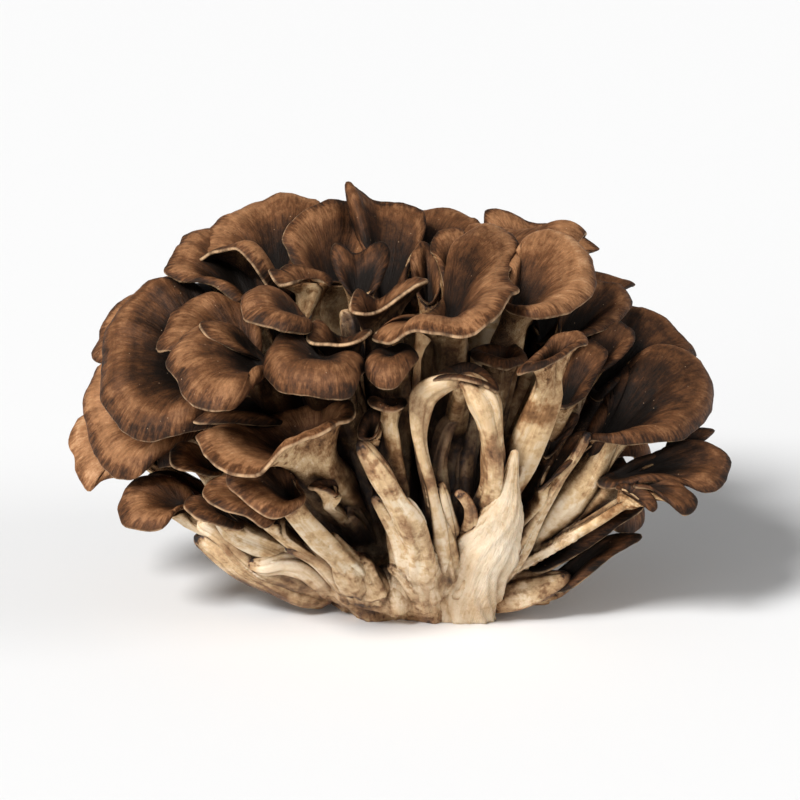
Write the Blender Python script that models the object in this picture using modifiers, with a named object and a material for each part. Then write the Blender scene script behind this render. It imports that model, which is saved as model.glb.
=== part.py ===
"""Maitake mushroom (hen of the woods): one cut cluster standing on the flat cut of its base.

The cluster is a single grown body. A dense foot branches into stems, and each stem ends in a thin,
fan-shaped or funnel-shaped cap. Caps are open sheets given a thickness, stems are curves with a radius at
each point, and a remesh grows all of them together into one closed skin. The frame is +Z up, +X across the
front, the front facing -Y. Sizes in the tables are millimetres.
"""

import math

import bmesh
import bpy
import numpy as np

MM = 0.001
CAP_THICKNESS = 3.0
CAP_COLUMNS = 44
CAP_ROWS = 9
STEM_SIDES = 3  # bevel resolution
STEM_POINTS = 9
SKIN_GRAIN = 1.15  # edge length of the remeshed skin
TRIANGLES = 7600
FOOT_CENTRE = (4.0, -4.0)
ROOT_HEIGHT = 11.0
ROOT_SPREAD = (0.30, 0.44)  # how far from the foot's centre a stem starts, as a share of its cap's distance
ROOT_RADIUS = (1.0, 1.2, 6.5)  # this much, and this many times the neck's radius, and at most
ROOT_TAPER = 0.7  # power of the way along: a stem thins quickly near its root
TOP_SINK = 0.6  # of the cap's thickness by which a stem's top stays under the upper side
TUCKED_SPREAD = 0.2  # of the usual distance in front of the foot's centre, for a stem that bends back
HUB_SHARES = np.linspace(0, 0.6, 13)  # tried in turn, of the way from the neck to the rim's middle
SPOKE_HANDLE = 0.36  # how far a cap's spokes hold their direction at each end, as a share of their length
STEM_BEND = (0.65, 0.55)  # where a stem's curve pulls to on its way to the neck, across and up
TUCKED_BEND = 0.15  # the same from front to back, for a stem that bends back

# name: (neck point, stem radius at the neck, lift and droop of the sheet in degrees, rim points)
CAPS = {
    # crown, at the back and top
    "crown_right_wall": ((37, 30, 85), 4.5, -8, 20, [
        (26, 52, 106), (28, 58, 109), (38, 58, 106), (50, 58, 103), (60, 56, 99), (62, 54, 97),
        (54, 46, 95), (43, 30, 87), (36, 28, 86), (28, 42, 98)]),
    "crown_notch": ((21, 24, 91), 3.5, -8, 20, [
        (15, 46, 102), (15, 50, 105), (18, 52, 107), (24, 50, 107), (27, 42, 101), (23, 26, 93),
        (19, 26, 92)]),
    "crown_left_fan": ((-34, 6, 90), 5, 12, 25, [
        (-61, 12, 104), (-57, 30, 110), (-50, 41, 112), (-37, 48, 115), (-25, 46, 113), (-26, 38, 108),
        (-30, 26, 102), (-31, 12, 98), (-32, 2, 96), (-35, -5, 96), (-40, -9, 102), (-47, -7, 111),
        (-52, -2, 110), (-57, 5, 107)]),
    "left_shoulder": ((-41, 0, 87), 4.5, 12, 25, [
        (-70, 5, 102), (-67, 0, 100), (-63, -3, 100), (-55, -6, 100), (-48, -10, 95), (-41, -3, 93),
        (-41, 6, 98), (-45, 20, 105), (-51, 32, 107), (-63, 30, 108), (-67, 20, 106)]),
    "crown_mid_petal": ((-19, 7, 93), 4, -5, 15, [
        (-35, 10, 111), (-30.5, 20, 115), (-24, 30, 117), (-17, 36, 116.5), (-13, 38, 114),
        (-11, 28, 109), (-11, 16, 103), (-14, 6, 99), (-22, 2, 99), (-30, 3, 103), (-33, 6, 107)]),
    "crown_peak": ((-4, 8, 89), 4.5, -5, 15, [
        (-17, 33, 121.5), (-15.5, 35, 122), (-12, 40, 118.5), (-5, 42, 114.5), (5, 40, 113.5),
        (8, 36, 111), (7, 28, 106), (3, 16, 101), (1, 8, 96), (-6, 4, 92), (-10, 13, 98),
        (-13.5, 24, 108), (-16, 30, 116)]),
    "heart_cap": ((-12, -14, 95), 3, -5, 20, [
        (-17, -15, 102), (-20, -10, 107), (-20, -6, 111), (-18, -5, 112), (-13, -4, 109), (-8, -4, 112),
        (-5, -4, 112), (-3, -6, 109), (-4, -10, 105), (-7, -14, 100), (-13, -16, 98)]),
    "trumpet_flap": ((16, -4, 90), 3.5, 0, 20, [
        (14, -8, 98), (11, 2, 106), (9, 8, 108), (12, 16, 111), (19, 18, 111), (21, 10, 107),
        (19, 0, 100), (17, -6, 95)]),
    "great_trumpet": ((10, -41, 82), 6.5, 38, 18, [
        (-8, -52, 95), (-3, -58, 96), (3, -62, 100), (11, -65, 100), (20, -65, 100), (27, -58, 103),
        (31, -46, 106), (34, -38, 106), (31.5, -28, 107), (33, -8, 107), (36, 2, 108), (33, 11, 112),
        (26, 14, 113), (18, 4, 111), (15, -8, 104), (14, -16, 100), (7, -36, 98), (-4, -49, 98)]),
    "right_fan": ((32, -24, 94), 5, 5, 30, [
        (37, 8, 108), (42, 12, 110), (50, 10, 111), (55, 3, 108), (58, -8, 104), (56, -20, 100),
        (48, -33, 98), (39, -39, 98), (31, -34, 99), (30, -28, 101), (31, -20, 103), (33, -6, 106)]),
    "inner_petal": ((9, 0, 87), 3, -5, 15, [
        (3, 8, 104), (5, 12, 107), (7, 16, 108), (10, 14, 106), (12, 8, 103), (12, 0, 97), (9, -2, 93),
        (5, 0, 96)]),
    # right side, from the top down
    "right_sliver": ((48, 8, 81), 3, 0, 20, [
        (54, 20, 95), (59, 28, 96), (70, 32, 92), (71, 28, 91), (63, 18, 91), (58, 12, 90),
        (53, 12, 90)]),
    "right_tier_upper": ((46, -12, 81), 4, 0, 25, [
        (57, 8, 98), (64, 14, 95), (67, 14, 94), (70, 10, 91), (67, -1, 89), (62, -10, 88),
        (55, -17, 87), (48, -16, 85), (47, -6, 91), (52, 4, 95)]),
    "right_tier_lower": ((51, -18, 69), 4, 0, 25, [
        (62, -5, 89), (69, -3, 86), (70, -5, 84), (69, -9, 82), (63, -17, 78), (55, -22, 75),
        (49, -22, 74), (50, -15, 80), (56, -8, 86)]),
    "right_roof": ((57, -8, 63), 5, 8, 35, [
        (62, 18, 84), (70, 24, 85), (80, 24, 81), (84, 22, 78), (90, 16, 73), (87, 8, 74), (81, 2, 77),
        (73, -6, 74), (63, -16, 70), (58, -16, 67), (55, -8, 71), (57, 5, 79)]),
    "big_right": ((55.5, -32, 54), 7, 5, 40, [
        (72, 2, 71), (77, 6, 73), (82, 8, 74), (90, 8, 71), (94, 0, 66), (93, -9, 63), (89, -19, 60),
        (83, -29, 59), (74, -37, 60), (65, -42, 61), (56, -38, 61), (54, -28, 59), (59, -18, 63),
        (66, -6, 67)]),
    "dark_blade_upper": ((47, -34, 69), 2.5, 0, 20, [
        (55, -18, 86), (60, -19, 84), (61, -21, 82), (58, -27, 78), (54, -34, 73), (48, -38, 71),
        (45, -36, 72), (46, -30, 76), (49, -22, 81)]),
    "dark_blade_mid": ((43, -36, 55), 2, 0, 15, [
        (48, -26, 66), (52, -27, 66), (52, -29, 64), (48, -35, 60), (45, -37, 57), (42, -37, 56),
        (44, -31, 62)]),
    "dark_blade_lower": ((40, -40, 45), 2, 0, 15, [
        (51, -30, 61), (56, -31, 61), (57, -33, 59), (51, -39, 56), (48, -41, 53), (43, -42, 49),
        (40, -42, 47), (42, -38, 52), (46, -33, 57)]),
    "right_hand_palm": ((60, -33, 48), 3, -5, 25, [
        (64, -30, 50), (70, -26, 52), (77, -22, 52), (83, -18, 53), (92, -15, 53), (98, -16, 49),
        (98, -19, 46), (94, -27, 43), (89, -31, 43), (83, -33, 46), (73, -37, 48), (61, -39, 47),
        (58, -36, 48)]),
    "right_hand_thumb": ((65, -37, 48), 1.6, -5, 25, [
        (73, -34, 49), (78, -33, 48), (83, -33, 46), (86, -34, 43), (87, -36, 42), (86, -39, 40),
        (82, -43, 40), (77, -42, 44), (73, -41, 47), (68, -40, 48)]),
    "right_hand_finger": ((66, -41, 44), 1.4, 10, 30, [
        (64, -38.5, 48), (69, -38.5, 47.5), (73, -40, 45.5), (75, -42, 42), (73.5, -44, 41),
        (70.5, -44, 43), (66.5, -42.5, 46), (63, -41, 47)]),
    "right_spur": ((82, -18, 52), 2, 0, 20, [
        (80, -18, 55.5), (85, -14, 57), (90, -11, 57.5), (94, -9, 56), (92, -12, 54.5), (88, -17, 53.5),
        (83, -21, 53), (79, -22, 53.5)]),
    "low_right_finger": ((47, -20, 10), 3, 5, 20, [
        (45, -18, 13), (53, -17, 19.5), (62.5, -15, 25), (71.5, -16, 26), (71, -18.5, 24),
        (64, -22, 21.5), (56.5, -25, 16), (49.5, -25.5, 11.5), (44, -22, 10)]),
    "low_right_dark": ((42, -16, 17), 3.5, 5, 20, [
        (38, -14, 19.5), (47.5, -11, 25), (59, -9, 32), (71, -9, 36.5), (73, -14, 35),
        (66.5, -20, 30.5), (56, -22, 23.5), (44, -23, 17), (38, -20, 16)]),
    # centre, in front of the crown
    "ribbon_trumpet": ((-6, -40, 88), 4, 60, -15, [
        (-14, -44, 103), (-13, -48, 102), (-9, -50, 102), (-5, -48, 103), (1, -44, 107), (7, -36, 108),
        (4, -26, 107), (-1, -22, 103), (-6, -24, 100), (-9, -28, 102), (-12, -34, 105)]),
    "saucer_trumpet": ((-16, -46, 84), 4, 50, -10, [
        (-26, -50, 95), (-23, -54, 94), (-16, -57, 95), (-12, -56, 96), (-9, -52, 97), (-9, -46, 96),
        (-12, -40, 94), (-16, -38, 92), (-19, -38, 93), (-22, -40, 96), (-24, -42, 98)]),
    "oval_cap": ((-29, -43, 99), 4, 0, 35, [
        (-46, -42, 103), (-45, -46, 101), (-43, -50, 100), (-36, -55, 99), (-32, -56, 98),
        (-26, -52, 97), (-25, -46, 97), (-28, -38, 98), (-34, -31, 100), (-41, -32, 104),
        (-45, -36, 104)]),
    "curled_nub": ((-26, -12, 92), 4.5, 60, 10, [
        (-38, -12, 106), (-36, -16, 103), (-34, -18, 103), (-28, -16, 104), (-24, -12, 103),
        (-21, -9, 100), (-20, -5, 101), (-23, -2, 103), (-32, -2, 105), (-36, -8, 105)]),
    "front_shelf": ((-22, -56, 90), 6, 0, 50, [
        (-39, -60, 87), (-37, -66, 86), (-34, -70, 85), (-28, -74, 84), (-22, -76, 84), (-14, -74, 84),
        (-11, -66, 87), (-10, -58, 89), (-19, -52, 87), (-27, -50, 88), (-35, -44, 91),
        (-38, -50, 90)]),
    "front_shelf_small": ((-2, -55, 91), 4, 0, 50, [
        (-10, -64, 88), (-8, -68, 86), (-5, -70, 85), (-1, -70, 86), (3, -64, 89), (5, -58, 90),
        (5, -52, 90), (2, -48, 91), (-4, -47, 88), (-9, -52, 89)]),
    "arch_cap": ((18, -52, 82), 2.5, 10, 25, [
        (9.2, -57, 84.3), (15.7, -58, 85), (23, -58, 83.6), (28.2, -55, 80.6), (26.5, -50, 83),
        (20.2, -47, 86.4), (13, -49, 85.6)]),
    "shy_cap": ((29, -32, 78), 3.5, 12, 35, [
        (20, -30, 85), (24, -26, 86), (32, -23, 86), (35, -26, 85), (37, -32, 84), (34, -40, 84),
        (30, -44, 84), (22, -40, 86)]),
    "mast_cap": ((43, -52, 84), 4, 10, 30, [
        (33, -60, 87), (37, -56, 90), (41, -50, 92), (45, -45, 94), (52, -42, 94), (54, -44, 92),
        (51, -50, 92), (43, -60, 90), (35, -64, 88)]),
    "fork_cap": ((-3, -54, 73), 3, 10, 30, [
        (-9, -56, 78), (-6, -52, 77), (0, -48, 76), (2, -52, 76), (0, -58, 76), (-3, -60, 76),
        (-7, -60, 77)]),
    "coin_cap": ((-8, -54, 65), 2, 0, 20, [
        (-12, -57, 69), (-10, -53, 73), (-7, -51, 74), (-5, -53, 72), (-6, -56, 69), (-8, -58, 67),
        (-11, -59, 67)]),
    "thorn_cap": ((-19, -50, 47), 2.5, 5, 20, [
        (-26, -55, 52), (-24, -53, 53), (-20, -51, 53), (-18, -51, 51), (-18, -54, 49), (-21, -57, 51),
        (-24, -57, 52)]),
    # left side, from the top down
    "left_far_high": ((-65, 22, 69), 4, 0, 35, [
        (-71, 42, 90), (-76, 42, 89), (-85, 38, 85), (-91, 30, 79), (-92, 27, 76), (-94, 21, 72),
        (-91, 16, 70), (-83, 12, 70), (-73, 12, 68), (-64, 20, 68), (-62, 32, 76), (-64, 40, 86)]),
    "left_shield": ((-52, -14, 73), 6, 0, 40, [
        (-68, 12, 96), (-77, 8, 95), (-86, -1, 88), (-88, -12, 81), (-88, -24, 73), (-86, -31, 69),
        (-80, -41, 64), (-72, -48, 64), (-62, -49, 66), (-52, -40, 67), (-49, -28, 70), (-49, -14, 75),
        (-54, 2, 86), (-61, 10, 93)]),
    "left_inner": ((-44, -22, 78), 4.5, 5, 35, [
        (-70, -32, 87), (-70, -26, 89), (-66, -13, 94), (-59, -5, 96), (-50, -4, 94), (-46, -6, 91),
        (-42, -12, 87), (-41, -18, 81), (-44, -26, 78), (-51, -33, 81), (-60, -36, 85),
        (-66, -35, 87)]),
    "front_left_disc": ((-39, -46, 84), 5, 3, 35, [
        (-38, -56, 85), (-41, -64, 84), (-47, -74, 80), (-52, -76, 80), (-60, -69, 82), (-66, -55, 88),
        (-65, -48, 91), (-61, -37, 93), (-54, -33, 90), (-45, -34, 86), (-37, -42, 84)]),
    "disc_fold": ((-39, -42, 85), 3, 0, 20, [
        (-57, -44, 97), (-56, -40, 97), (-51, -36, 96), (-45, -34, 90), (-38, -39, 85), (-45, -47, 89),
        (-53, -49, 94), (-56, -47, 96)]),
    "left_outer": ((-61, 2, 55), 5, 0, 35, [
        (-91, 15, 70), (-93, 13, 67), (-96, 8, 58), (-94, 2, 52), (-91, -6, 47), (-87, -14, 44),
        (-83, -18, 44), (-77, -20, 45), (-71, -18, 50), (-63, -6, 52), (-60, 4, 54), (-62, 14, 61),
        (-73, 18, 67), (-84, 18, 70)]),
    "left_far_low": ((-75, 18, 41), 4, 0, 35, [
        (-96, 22, 52), (-99, 20, 50), (-101, 14, 46), (-99, 9, 43), (-98, 5, 40), (-94, -2, 35),
        (-89, 0, 38), (-78, 8, 38), (-75, 18, 40), (-81, 24, 47), (-90, 25, 50)]),
    "left_pocket": ((-55, -26, 48), 3.5, -5, 20, [
        (-67, -30, 54), (-67, -26, 55), (-65, -22, 56), (-60, -20, 54), (-52, -22, 49), (-54, -30, 48),
        (-61, -35, 51), (-66, -34, 52)]),
    "left_ledge": ((-28, -40, 66), 3.5, 0, 25, [
        (-61, -42, 70), (-60, -36, 71), (-54, -30, 71), (-38, -26, 68), (-32, -30, 67), (-33, -42, 67),
        (-43, -50, 69), (-58, -50, 70)]),
    "front_left_wing": ((-24.5, -51, 59), 6.5, 10, 12, [
        (-57, -57, 68), (-52, -44, 68), (-45, -40, 68), (-32, -38, 70), (-21, -42, 74),
        (-14.5, -51, 76), (-13.5, -60, 74.5), (-19.5, -70, 74), (-28, -77, 72), (-33, -80, 70),
        (-39, -80, 64.5), (-45, -78, 62), (-52, -73, 64), (-57, -64, 67)]),
    "left_paddle": ((-30, -52, 47), 3.5, -3, 25, [
        (-49, -60, 58), (-49, -63, 55), (-46, -66, 53), (-38, -71, 48), (-32, -70, 48), (-27, -60, 49),
        (-29, -54, 52), (-32, -50, 55), (-42, -50, 58), (-46, -54, 59)]),
    "left_apron": ((-35, -38, 37), 3.5, 0, 25, [
        (-57, -40, 47), (-55, -37, 49), (-51, -36, 50), (-45, -36, 49), (-39, -36, 45), (-35, -38, 41),
        (-38, -50, 38), (-44, -54, 43), (-53, -52, 45), (-56, -46, 46)]),
    "left_crest": ((-50, -30, 34), 3.5, 5, 25, [
        (-63, -34, 41), (-61, -31, 42), (-54, -29, 40), (-46, -32, 34), (-48, -38, 34), (-57, -42, 38),
        (-62, -38, 40)]),
    "low_left_fan": ((-61, -18, 35), 4, -3, 30, [
        (-76, -8, 41), (-80, -10, 40), (-84, -17, 36), (-83, -22, 33), (-80, -27, 31), (-70, -30, 32),
        (-66, -24, 35), (-61, -16, 36), (-63, -8, 37), (-71, -5, 40)]),
    "low_left_back": ((-52, -6, 31), 3.5, -3, 20, [
        (-76, 5, 38), (-72, 8, 38), (-67, 6, 38), (-60, 2, 37), (-52, -4, 33), (-58, -8, 34),
        (-71, 2, 37)]),
}

# caps whose stems bend back at once, and leave a hollow in front
TUCKED = ("front_left_wing", "coin_cap", "left_ledge", "front_shelf", "front_shelf_small", "thorn_cap",
          "saucer_trumpet", "ribbon_trumpet", "oval_cap", "front_left_disc", "disc_fold", "shy_cap",
          "arch_cap", "left_inner", "great_trumpet")

# plain stems with no cap of their own: (x, y, z, radius) from the tip down
STEMS = {
    "arch_left_leg": [
        (18, -54, 83.5, 1.6), (12, -55, 82.4, 3), (7.2, -55, 79.5, 3.5), (5.8, -55, 74.5, 2.7),
        (5.4, -54, 67, 2.1), (6.6, -52, 59, 1.9), (8.5, -49, 50.5, 2.1), (10.5, -44, 40, 2.6),
        (13, -37, 27.5, 3.5), (15, -28, 16, 4.2)],
    "arch_right_leg": [
        (16, -54, 83.5, 1.6), (20, -54, 82, 3.2), (23.6, -54, 77, 4.2), (25.4, -54, 71.5, 3.8),
        (26.4, -53, 65, 3.4), (27, -50, 57, 3.3), (26.6, -45.5, 49, 3.3), (25, -38, 40, 3.7),
        (22.5, -29, 28.5, 4.6)],
    "arch_ribbon": [
        (11.5, -47, 51, 0.9), (13, -46, 45, 1.5), (14.5, -40, 36.5, 1.8), (16, -30, 25.5, 2.4),
        (17, -22, 15, 2.6)],
    "back_reed": [
        (17, -40, 68, 1), (14, -40, 66, 2), (12, -40, 60, 2.3), (11.3, -40, 54, 2.1),
        (12.5, -39, 46, 2), (15, -35, 32, 2.2)],
    "back_stalk": [(21, -30, 67, 2.7), (19, -32, 59, 3.9), (17, -34, 51, 4.2), (17, -30, 25, 5)],
    "thin_horn": [
        (16, -46, 47.6, 1), (18.5, -46, 46, 1.3), (20.5, -44, 42, 1.5), (21, -39, 36, 2),
        (20, -31, 29, 3)],
    "tan_leaf": [(-17, -31, 98, 1), (-15, -31, 95.5, 2.3), (-14, -31, 91, 2.6), (-12, -27, 80, 2.6)],
    "left_reed": [
        (-12, -58, 66.5, 1), (-9.8, -58, 63.5, 2.6), (-5.5, -57, 56, 3.3), (-1.5, -54, 47.5, 3.4),
        (2, -50, 40.5, 3.8), (5, -43.5, 31, 4.2), (7, -35, 19.5, 4.8), (9, -27, 10, 5.5)],
    "left_horn": [
        (-8.4, -48, 46.4, 1.1), (-6, -48, 45, 1.6), (-2, -46, 38.5, 2.4), (1.7, -42, 30.5, 3.4),
        (5, -36, 19.5, 4.5)],
    "low_horn": [(-3.5, -33, 21.5, 1.4), (0.6, -33, 18.7, 2), (4.7, -31, 13.5, 2.6), (7, -26, 9, 3)],
    "broken_stub": [
        (-19.5, -38, 32, 2.6), (-18.3, -38, 27, 3), (-15.5, -34, 20, 4), (-11, -28, 10, 5)],
    "pale_stub": [(-12.5, -35, 25, 3), (-11, -32, 18.5, 4.5), (-7.5, -27, 9, 6)],
    "base_knob": [(-4, -27, 19, 6), (-2.5, -23, 11, 8.5), (-2, -20, 6, 9)],
    "low_stub": [
        (-34, -32, 27, 1.7), (-28.6, -32, 25.7, 2.8), (-23, -31, 22, 3.2), (-17.5, -28, 15.5, 3.6),
        (-14, -24, 8.5, 4)],
    "low_curl": [
        (-45, -27, 19.6, 1.5), (-40, -27, 19.3, 2.8), (-34.5, -26, 20, 3.3), (-28.5, -25, 18.4, 3.7),
        (-24, -23, 14, 3.9), (-21, -20, 9, 4)],
    "low_fold": [
        (-60, -22, 31.5, 2.3), (-52.5, -22, 27, 2.8), (-47, -22, 21, 2.9), (-40.5, -22, 16, 3.2),
        (-32.5, -20, 13, 3.7), (-24, -16, 8.5, 4)],
    "outer_fold": [
        (-61.5, -16, 25, 1.7), (-55, -17, 22, 3), (-47, -18, 15.6, 3.5), (-38, -18, 11.5, 4),
        (-29.5, -16, 6.8, 4.2), (-22, -12, 4.8, 4.5)],
    "edge_reed": [
        (55, -37, 63, 1.2), (51, -38, 56, 1.5), (46, -38, 49, 1.9), (41, -36, 39, 2.2),
        (34, -31, 24, 2.8), (27, -24, 12, 3.5)],
    "low_right_trunk": [
        (51, -22, 14.5, 1.8), (46, -22, 12.5, 3.6), (40, -21, 10.5, 5), (32, -18, 9, 6),
        (20, -10, 7, 6)],
}

# the face left in front where outer flesh was torn off, and a smaller tear, from the tip down:
# (x, y, z, half width)
TORN_FACE = [
    (33.2, -52, 62, 0.9), (32.7, -51.5, 58.8, 1.4), (31.8, -49.5, 52.5, 2.5), (31.2, -46.5, 45.8, 3.6),
    (29.4, -42.5, 38.8, 6.1), (26.9, -37, 31.4, 8), (23.8, -32, 24, 9.2), (21.4, -28, 17, 9.4),
    (19, -23.5, 9.5, 9.4), (18, -18, 0, 10)]
TORN_STRIP = [(1.4, -52, 47.6, 0.8), (3, -52, 45, 1.6), (5, -49.5, 40.5, 1.7), (7, -46, 36, 1.2)]
TORN_DEPTH = 0.5  # their half depth by their half width

# caps round the back, spread by the golden ratio from low to high
BACK_COUNT = 28
BACK_BEARINGS = (4, 176)  # degrees from +X round by +Y
BACK_HEIGHTS = (32, 92)  # necks
BACK_GIRTH = np.array([58, 46])  # distance of the necks across and away, at the widest
BACK_REACH = 37
BACK_HALF_WIDTH = 20
BACK_TIP = (-6, 24)  # height of the far end over the neck: of the lowest, and by how much more of the highest
BACK_ARCH = 22  # rise between the neck and the far end, four times its height
BACK_STEM_RADIUS = 4.5
BACK_LIFT = 25
BACK_DROOP = 50
BACK_TUCK = 38  # degrees by which the highest ones keep clear of the sides
GOLDEN = 0.6180339887

# height, half width across, half depth of the foot
FOOT = [
    (-3, 22, 19), (0, 24, 20), (4, 28, 22), (8, 33, 24), (14, 33, 24), (19, 28, 21), (24, 18, 14), (27, 6, 6)]
FOOT_SIDES = 40


def unit(v):
    """Vectors made one long."""
    return v / np.linalg.norm(v, axis=-1, keepdims=True)


def closed_spline(points, columns):
    """Catmull-Rom curve through a ring of points, read at even steps of its length."""
    p = np.asarray(points, float)
    u = np.linspace(0, 1, 12, endpoint=False)[None, :, None]
    a, b, c, d = (np.roll(p, k, axis=0)[:, None] for k in (1, 0, -1, -2))
    fine = (b + 0.5 * u * (c - a) + u**2 * (a - 2.5 * b + 2 * c - 0.5 * d)
            + u**3 * (1.5 * (b - c) + 0.5 * (d - a))).reshape(-1, 3)
    ring = np.vstack([fine, fine[:1]])
    length = np.r_[0, np.cumsum(np.linalg.norm(np.diff(ring, axis=0), axis=1))]
    at = np.linspace(0, length[-1], columns, endpoint=False)
    return np.stack([np.interp(at, length, ring[:, k]) for k in range(3)], axis=1)


def facing(neck, rim):
    """Unit normal of the ring of rim points seen from the neck, on the upper side, and the rim in order."""
    spokes = rim - neck
    area = np.cross(spokes, np.roll(spokes, -1, axis=0)).sum(axis=0)
    return (unit(area), rim) if area[2] > 0 else (unit(-area), rim[::-1])


def hub_of(neck, rim, axis):
    """Where the spokes meet: the neck or, where the rim doubles back beside it, as little of the way to the
    rim's middle as lets every spoke turn the same way."""
    tries = neck + HUB_SHARES[:, None] * (rim.mean(axis=0) - neck)
    level = [unit((rim - hub) - ((rim - hub) @ axis)[:, None] * axis) for hub in tries]
    folded = [(np.cross(ray, np.roll(ray, -1, axis=0)) @ axis <= 0).sum() for ray in level]
    return tries[int(np.argmin(folded))]


def sheet(neck, lift, droop, rim_points):
    """The hub of a cap, and rings of points of its upper side from the hub out: each spoke is a cubic curve
    that leaves the hub at the lift angle and meets the rim at the droop angle."""
    axis, rim = facing(neck, closed_spline(rim_points, CAP_COLUMNS))
    hub = hub_of(neck, rim, axis)
    spokes = rim - hub
    reach = np.linalg.norm(spokes, axis=1, keepdims=True)
    level = unit(spokes - (spokes @ axis)[:, None] * axis)
    lift, droop = math.radians(lift), math.radians(droop)
    leaving = math.cos(lift) * level + math.sin(lift) * axis
    meeting = math.cos(droop) * level - math.sin(droop) * axis
    near = hub + SPOKE_HANDLE * reach * leaving
    far = rim - SPOKE_HANDLE * reach * meeting
    s = (np.arange(1, CAP_ROWS + 1) / CAP_ROWS)[:, None, None]
    return hub, (1 - s)**3 * hub + 3 * s * (1 - s)**2 * near + 3 * s**2 * (1 - s) * far + s**3 * rim


def cap_object(name, neck, lift, droop, rim_points):
    """Open fan of faces round the hub, made thick downwards by Solidify. Returns the hub."""
    hub, rings = sheet(np.asarray(neck, float), lift, droop, rim_points)
    points = np.vstack([hub[None], rings.reshape(-1, 3)]) * MM
    step = np.arange(CAP_COLUMNS)
    after = np.roll(step, -1)
    faces = [(0, 1 + a, 1 + b) for a, b in zip(step, after)]
    for row in range(CAP_ROWS - 1):
        inner, outer = 1 + row * CAP_COLUMNS, 1 + (row + 1) * CAP_COLUMNS
        faces += [(inner + a, outer + a, outer + b, inner + b) for a, b in zip(step, after)]
    mesh = bpy.data.meshes.new(name)
    mesh.from_pydata(points.tolist(), [], [tuple(map(int, face)) for face in faces])
    cap = bpy.data.objects.new(name, mesh)
    drafts.objects.link(cap)
    solidify = cap.modifiers.new("flesh", "SOLIDIFY")
    solidify.thickness = CAP_THICKNESS * MM
    solidify.offset = -1
    pieces.append(cap)
    return hub


def stem_object(name, points, depth=1.0):
    """Stem: a poly curve with a radius at each point and filled ends, flattened by a depth under 1."""
    curve = bpy.data.curves.new(name, "CURVE")
    curve.dimensions = "3D"
    curve.bevel_depth = MM
    curve.bevel_resolution = STEM_SIDES
    curve.use_fill_caps = True
    spline = curve.splines.new("POLY")
    spline.points.add(len(points) - 1)
    for point, (x, y, z, radius) in zip(spline.points, points):
        point.co = (x * MM, y * MM / depth, z * MM, 1)
        point.radius = radius
    stem = bpy.data.objects.new(name, curve)
    stem.scale = (1, depth, 1)
    drafts.objects.link(stem)
    pieces.append(stem)


def stem_path(neck, radius, tucked):
    """Stem of a cap: from its root on the foot, upright at first, bending out to the neck. A tucked one bends
    back at once instead."""
    foot = np.array([*FOOT_CENTRE, 0])
    root = foot + (neck - foot) * [*ROOT_SPREAD, 0] * [1, TUCKED_SPREAD if tucked else 1, 1]
    root[2] = min(ROOT_HEIGHT, 0.5 * neck[2])
    across, up = STEM_BEND
    bend = root + (neck - root) * [across, TUCKED_BEND if tucked else across, up]
    s = np.linspace(0, 1, STEM_POINTS)[:, None]
    top = neck - [0, 0, TOP_SINK * CAP_THICKNESS]
    path = (1 - s)**2 * root + 2 * s * (1 - s) * bend + s**2 * top
    least, share, most = ROOT_RADIUS
    root_radius = min(most, least + share * radius)
    return np.hstack([path, root_radius + (radius - root_radius) * s**ROOT_TAPER])


def back_caps():
    """Caps of the back: fans that point outwards, low ones level, middle ones drooping, high ones rising."""
    caps = {}
    first, last = BACK_BEARINGS
    low, high = BACK_HEIGHTS
    t = np.radians(np.arange(0, 360, 30))
    for number in range(BACK_COUNT):
        share = (number + 0.5) / BACK_COUNT  # of the way up
        tuck = BACK_TUCK * share**2
        bearing = math.radians(first + tuck + (last - first - 2 * tuck) * ((number * GOLDEN) % 1))
        out = np.array([math.cos(bearing), math.sin(bearing), 0])
        side = np.array([-out[1], out[0], 0])
        girth = 0.45 + 0.55 * math.sin(math.pi * (0.12 + 0.80 * share))  # fullest at middle height
        neck = np.array([*BACK_GIRTH * girth * out[:2], low + (high - low) * share])
        # the rim: an oval that starts at the neck and is wider towards its far end, with slow waves
        reach = BACK_REACH * (0.92 + 0.14 * math.sin(2.3 * number) - 0.2 * share**2)
        along = reach * (0.47 + 0.50 * np.cos(t) + 0.05 * np.cos(3 * t + number))
        aside = BACK_HALF_WIDTH * np.sin(t) * (1.05 + 0.30 * np.cos(t)) + 2 * np.sin(2 * t + number)
        far = along / reach
        tip = BACK_TIP[0] + BACK_TIP[1] * share**3
        waves = 3 * np.sin(2 * t + 2.1 * number) + 4 * np.sin(t + 1.3 * number)
        up = tip * far + BACK_ARCH * far * (1 - far) + waves
        rim = neck + along[:, None] * out + aside[:, None] * side + up[:, None] * [0, 0, 1]
        caps[f"back_{number}"] = (neck, BACK_STEM_RADIUS, BACK_LIFT, BACK_DROOP, rim)
    return caps


def foot_object():
    """Foot: a profile of ellipses joined into one closed skin."""
    turn = np.linspace(0, 2 * math.pi, FOOT_SIDES, endpoint=False)
    rings = bmesh.new()
    loops = [[rings.verts.new(((FOOT_CENTRE[0] + wide * math.cos(a)) * MM,
                               (FOOT_CENTRE[1] + deep * math.sin(a)) * MM, z * MM)) for a in turn]
             for z, wide, deep in FOOT]
    for lower, upper in zip(loops, loops[1:]):
        for k in range(FOOT_SIDES):
            after = (k + 1) % FOOT_SIDES
            rings.faces.new((lower[k], lower[after], upper[after], upper[k]))
    rings.faces.new(reversed(loops[0]))
    rings.faces.new(loops[-1])
    mesh = bpy.data.meshes.new("foot")
    rings.to_mesh(mesh)
    rings.free()
    foot = bpy.data.objects.new("foot", mesh)
    drafts.objects.link(foot)
    pieces.append(foot)


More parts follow.
